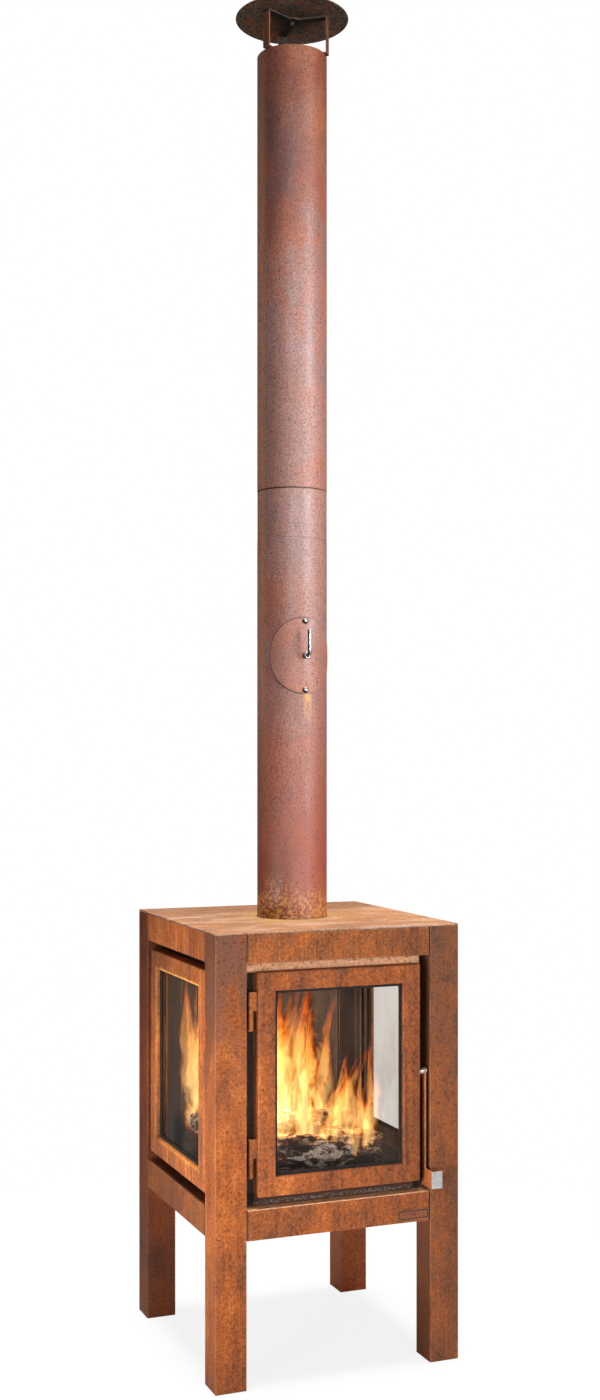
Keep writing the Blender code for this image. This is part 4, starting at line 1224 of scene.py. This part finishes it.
def panels():
    """The door and the two side windows, with their glazing."""
    door = rust("rust_door", 27.0, 0.35, 0.50, 0.3, None, (0.85, 0.81, 0.86))
    folded_frame("door_frame", door, 0)
    window = rust("rust_windows", 31.0, 0.35, 0.55, 0.35, window_tones, (1.08, 1.02, 1.06))
    folded_frame("window_frame_left", window, -pi / 2)
    folded_frame("window_frame_right", window, pi / 2)
    tape = braid("black_tape")
    pane = glass("clear_pane")
    backing = firebox_steel("retainer_steel", 8.0)
    for prefix in ("door", "window_left", "window_right"):
        refined(f"{prefix}_gasket", tape)
        refined(f"{prefix}_glass", pane)
        refined(f"{prefix}_retainer", backing, 0.0004)
    refined("door_rope_seal", tape, 0.0, 60)


def hardware():
    """Hinges, latch and damper."""
    bright = stainless("bright_steel")
    # Painted shade on the hatch bolts, bush and spindle: their lower left sides are painted
    # near-black.
    painted_shade_steel = stainless("steel_in_painted_shade", dark=0.92)
    hinge = rust("rust_hinges", 35.0, 0.45, 0.3, 0.1)
    for which in ("lower", "upper"):
        refined(f"hinge_{which}_door_knuckle", hinge)
        refined(f"hinge_{which}_fixed_knuckle", hinge)
        refined(f"hinge_{which}_pin", bright)
        refined(f"hatch_bolt_{which}", painted_shade_steel, 0.0, 50)
    rubbed = stainless("rubbed_steel", (1, 3, 9), 0.14)
    latch_lever(rust("rust_latch", 37.0, 0.75, 0.2, 0.1), rubbed)
    refined("latch_pivot_bolt", bright, 0.0, 50)
    for node in ("latch_spacer", "latch_keeper"):
        refined(node, bright, 0.0004)
    for node in ("damper_bush", "damper_spindle"):
        refined(node, painted_shade_steel, 0.0004)
    refined("damper_flap", sooted("sooted_flap", 41.0, 0.2), 0.0006)


def flue():
    """Pipe sections, coupler, hatch cover and rain cap."""
    lower = pipe_rust("rust_pipe_lower", 43.0, lower_pipe_marks)
    pipe("flue_pipe_lower", lower, 0.0006, 0.0004)
    pipe("flue_pipe_upper", pipe_rust("rust_pipe_upper", 47.0, seam_tones), 0.0006, 0.0012)
    refined("flue_coupler", pipe_rust("rust_coupler", 43.0, seam_tones))
    # The hatch rim's dark finish is painted shade.
    hatch_cover(pipe_rust("rust_hatch", 53.0, hatch_tones), firebox_steel("rim_in_painted_shade", 54.0))
    under_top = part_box("cap_disc")[1].z - 0.0002
    cap_disc(sooted("sooted_cap", 57.0, 0.90, under_top))
    bracket = rust("rust_bracket", 59.0, 0.20, 0.6, 0.1, bracket_tones)
    refined("cap_bracket", bracket, 0.0005)
    refined("cap_bolt", bracket, 0.0, 50)


camera()
studio()
floor()
body()
firebox()
panels()
hardware()
flue()
fire()
bpy.context.scene.view_settings.view_transform = "Standard"
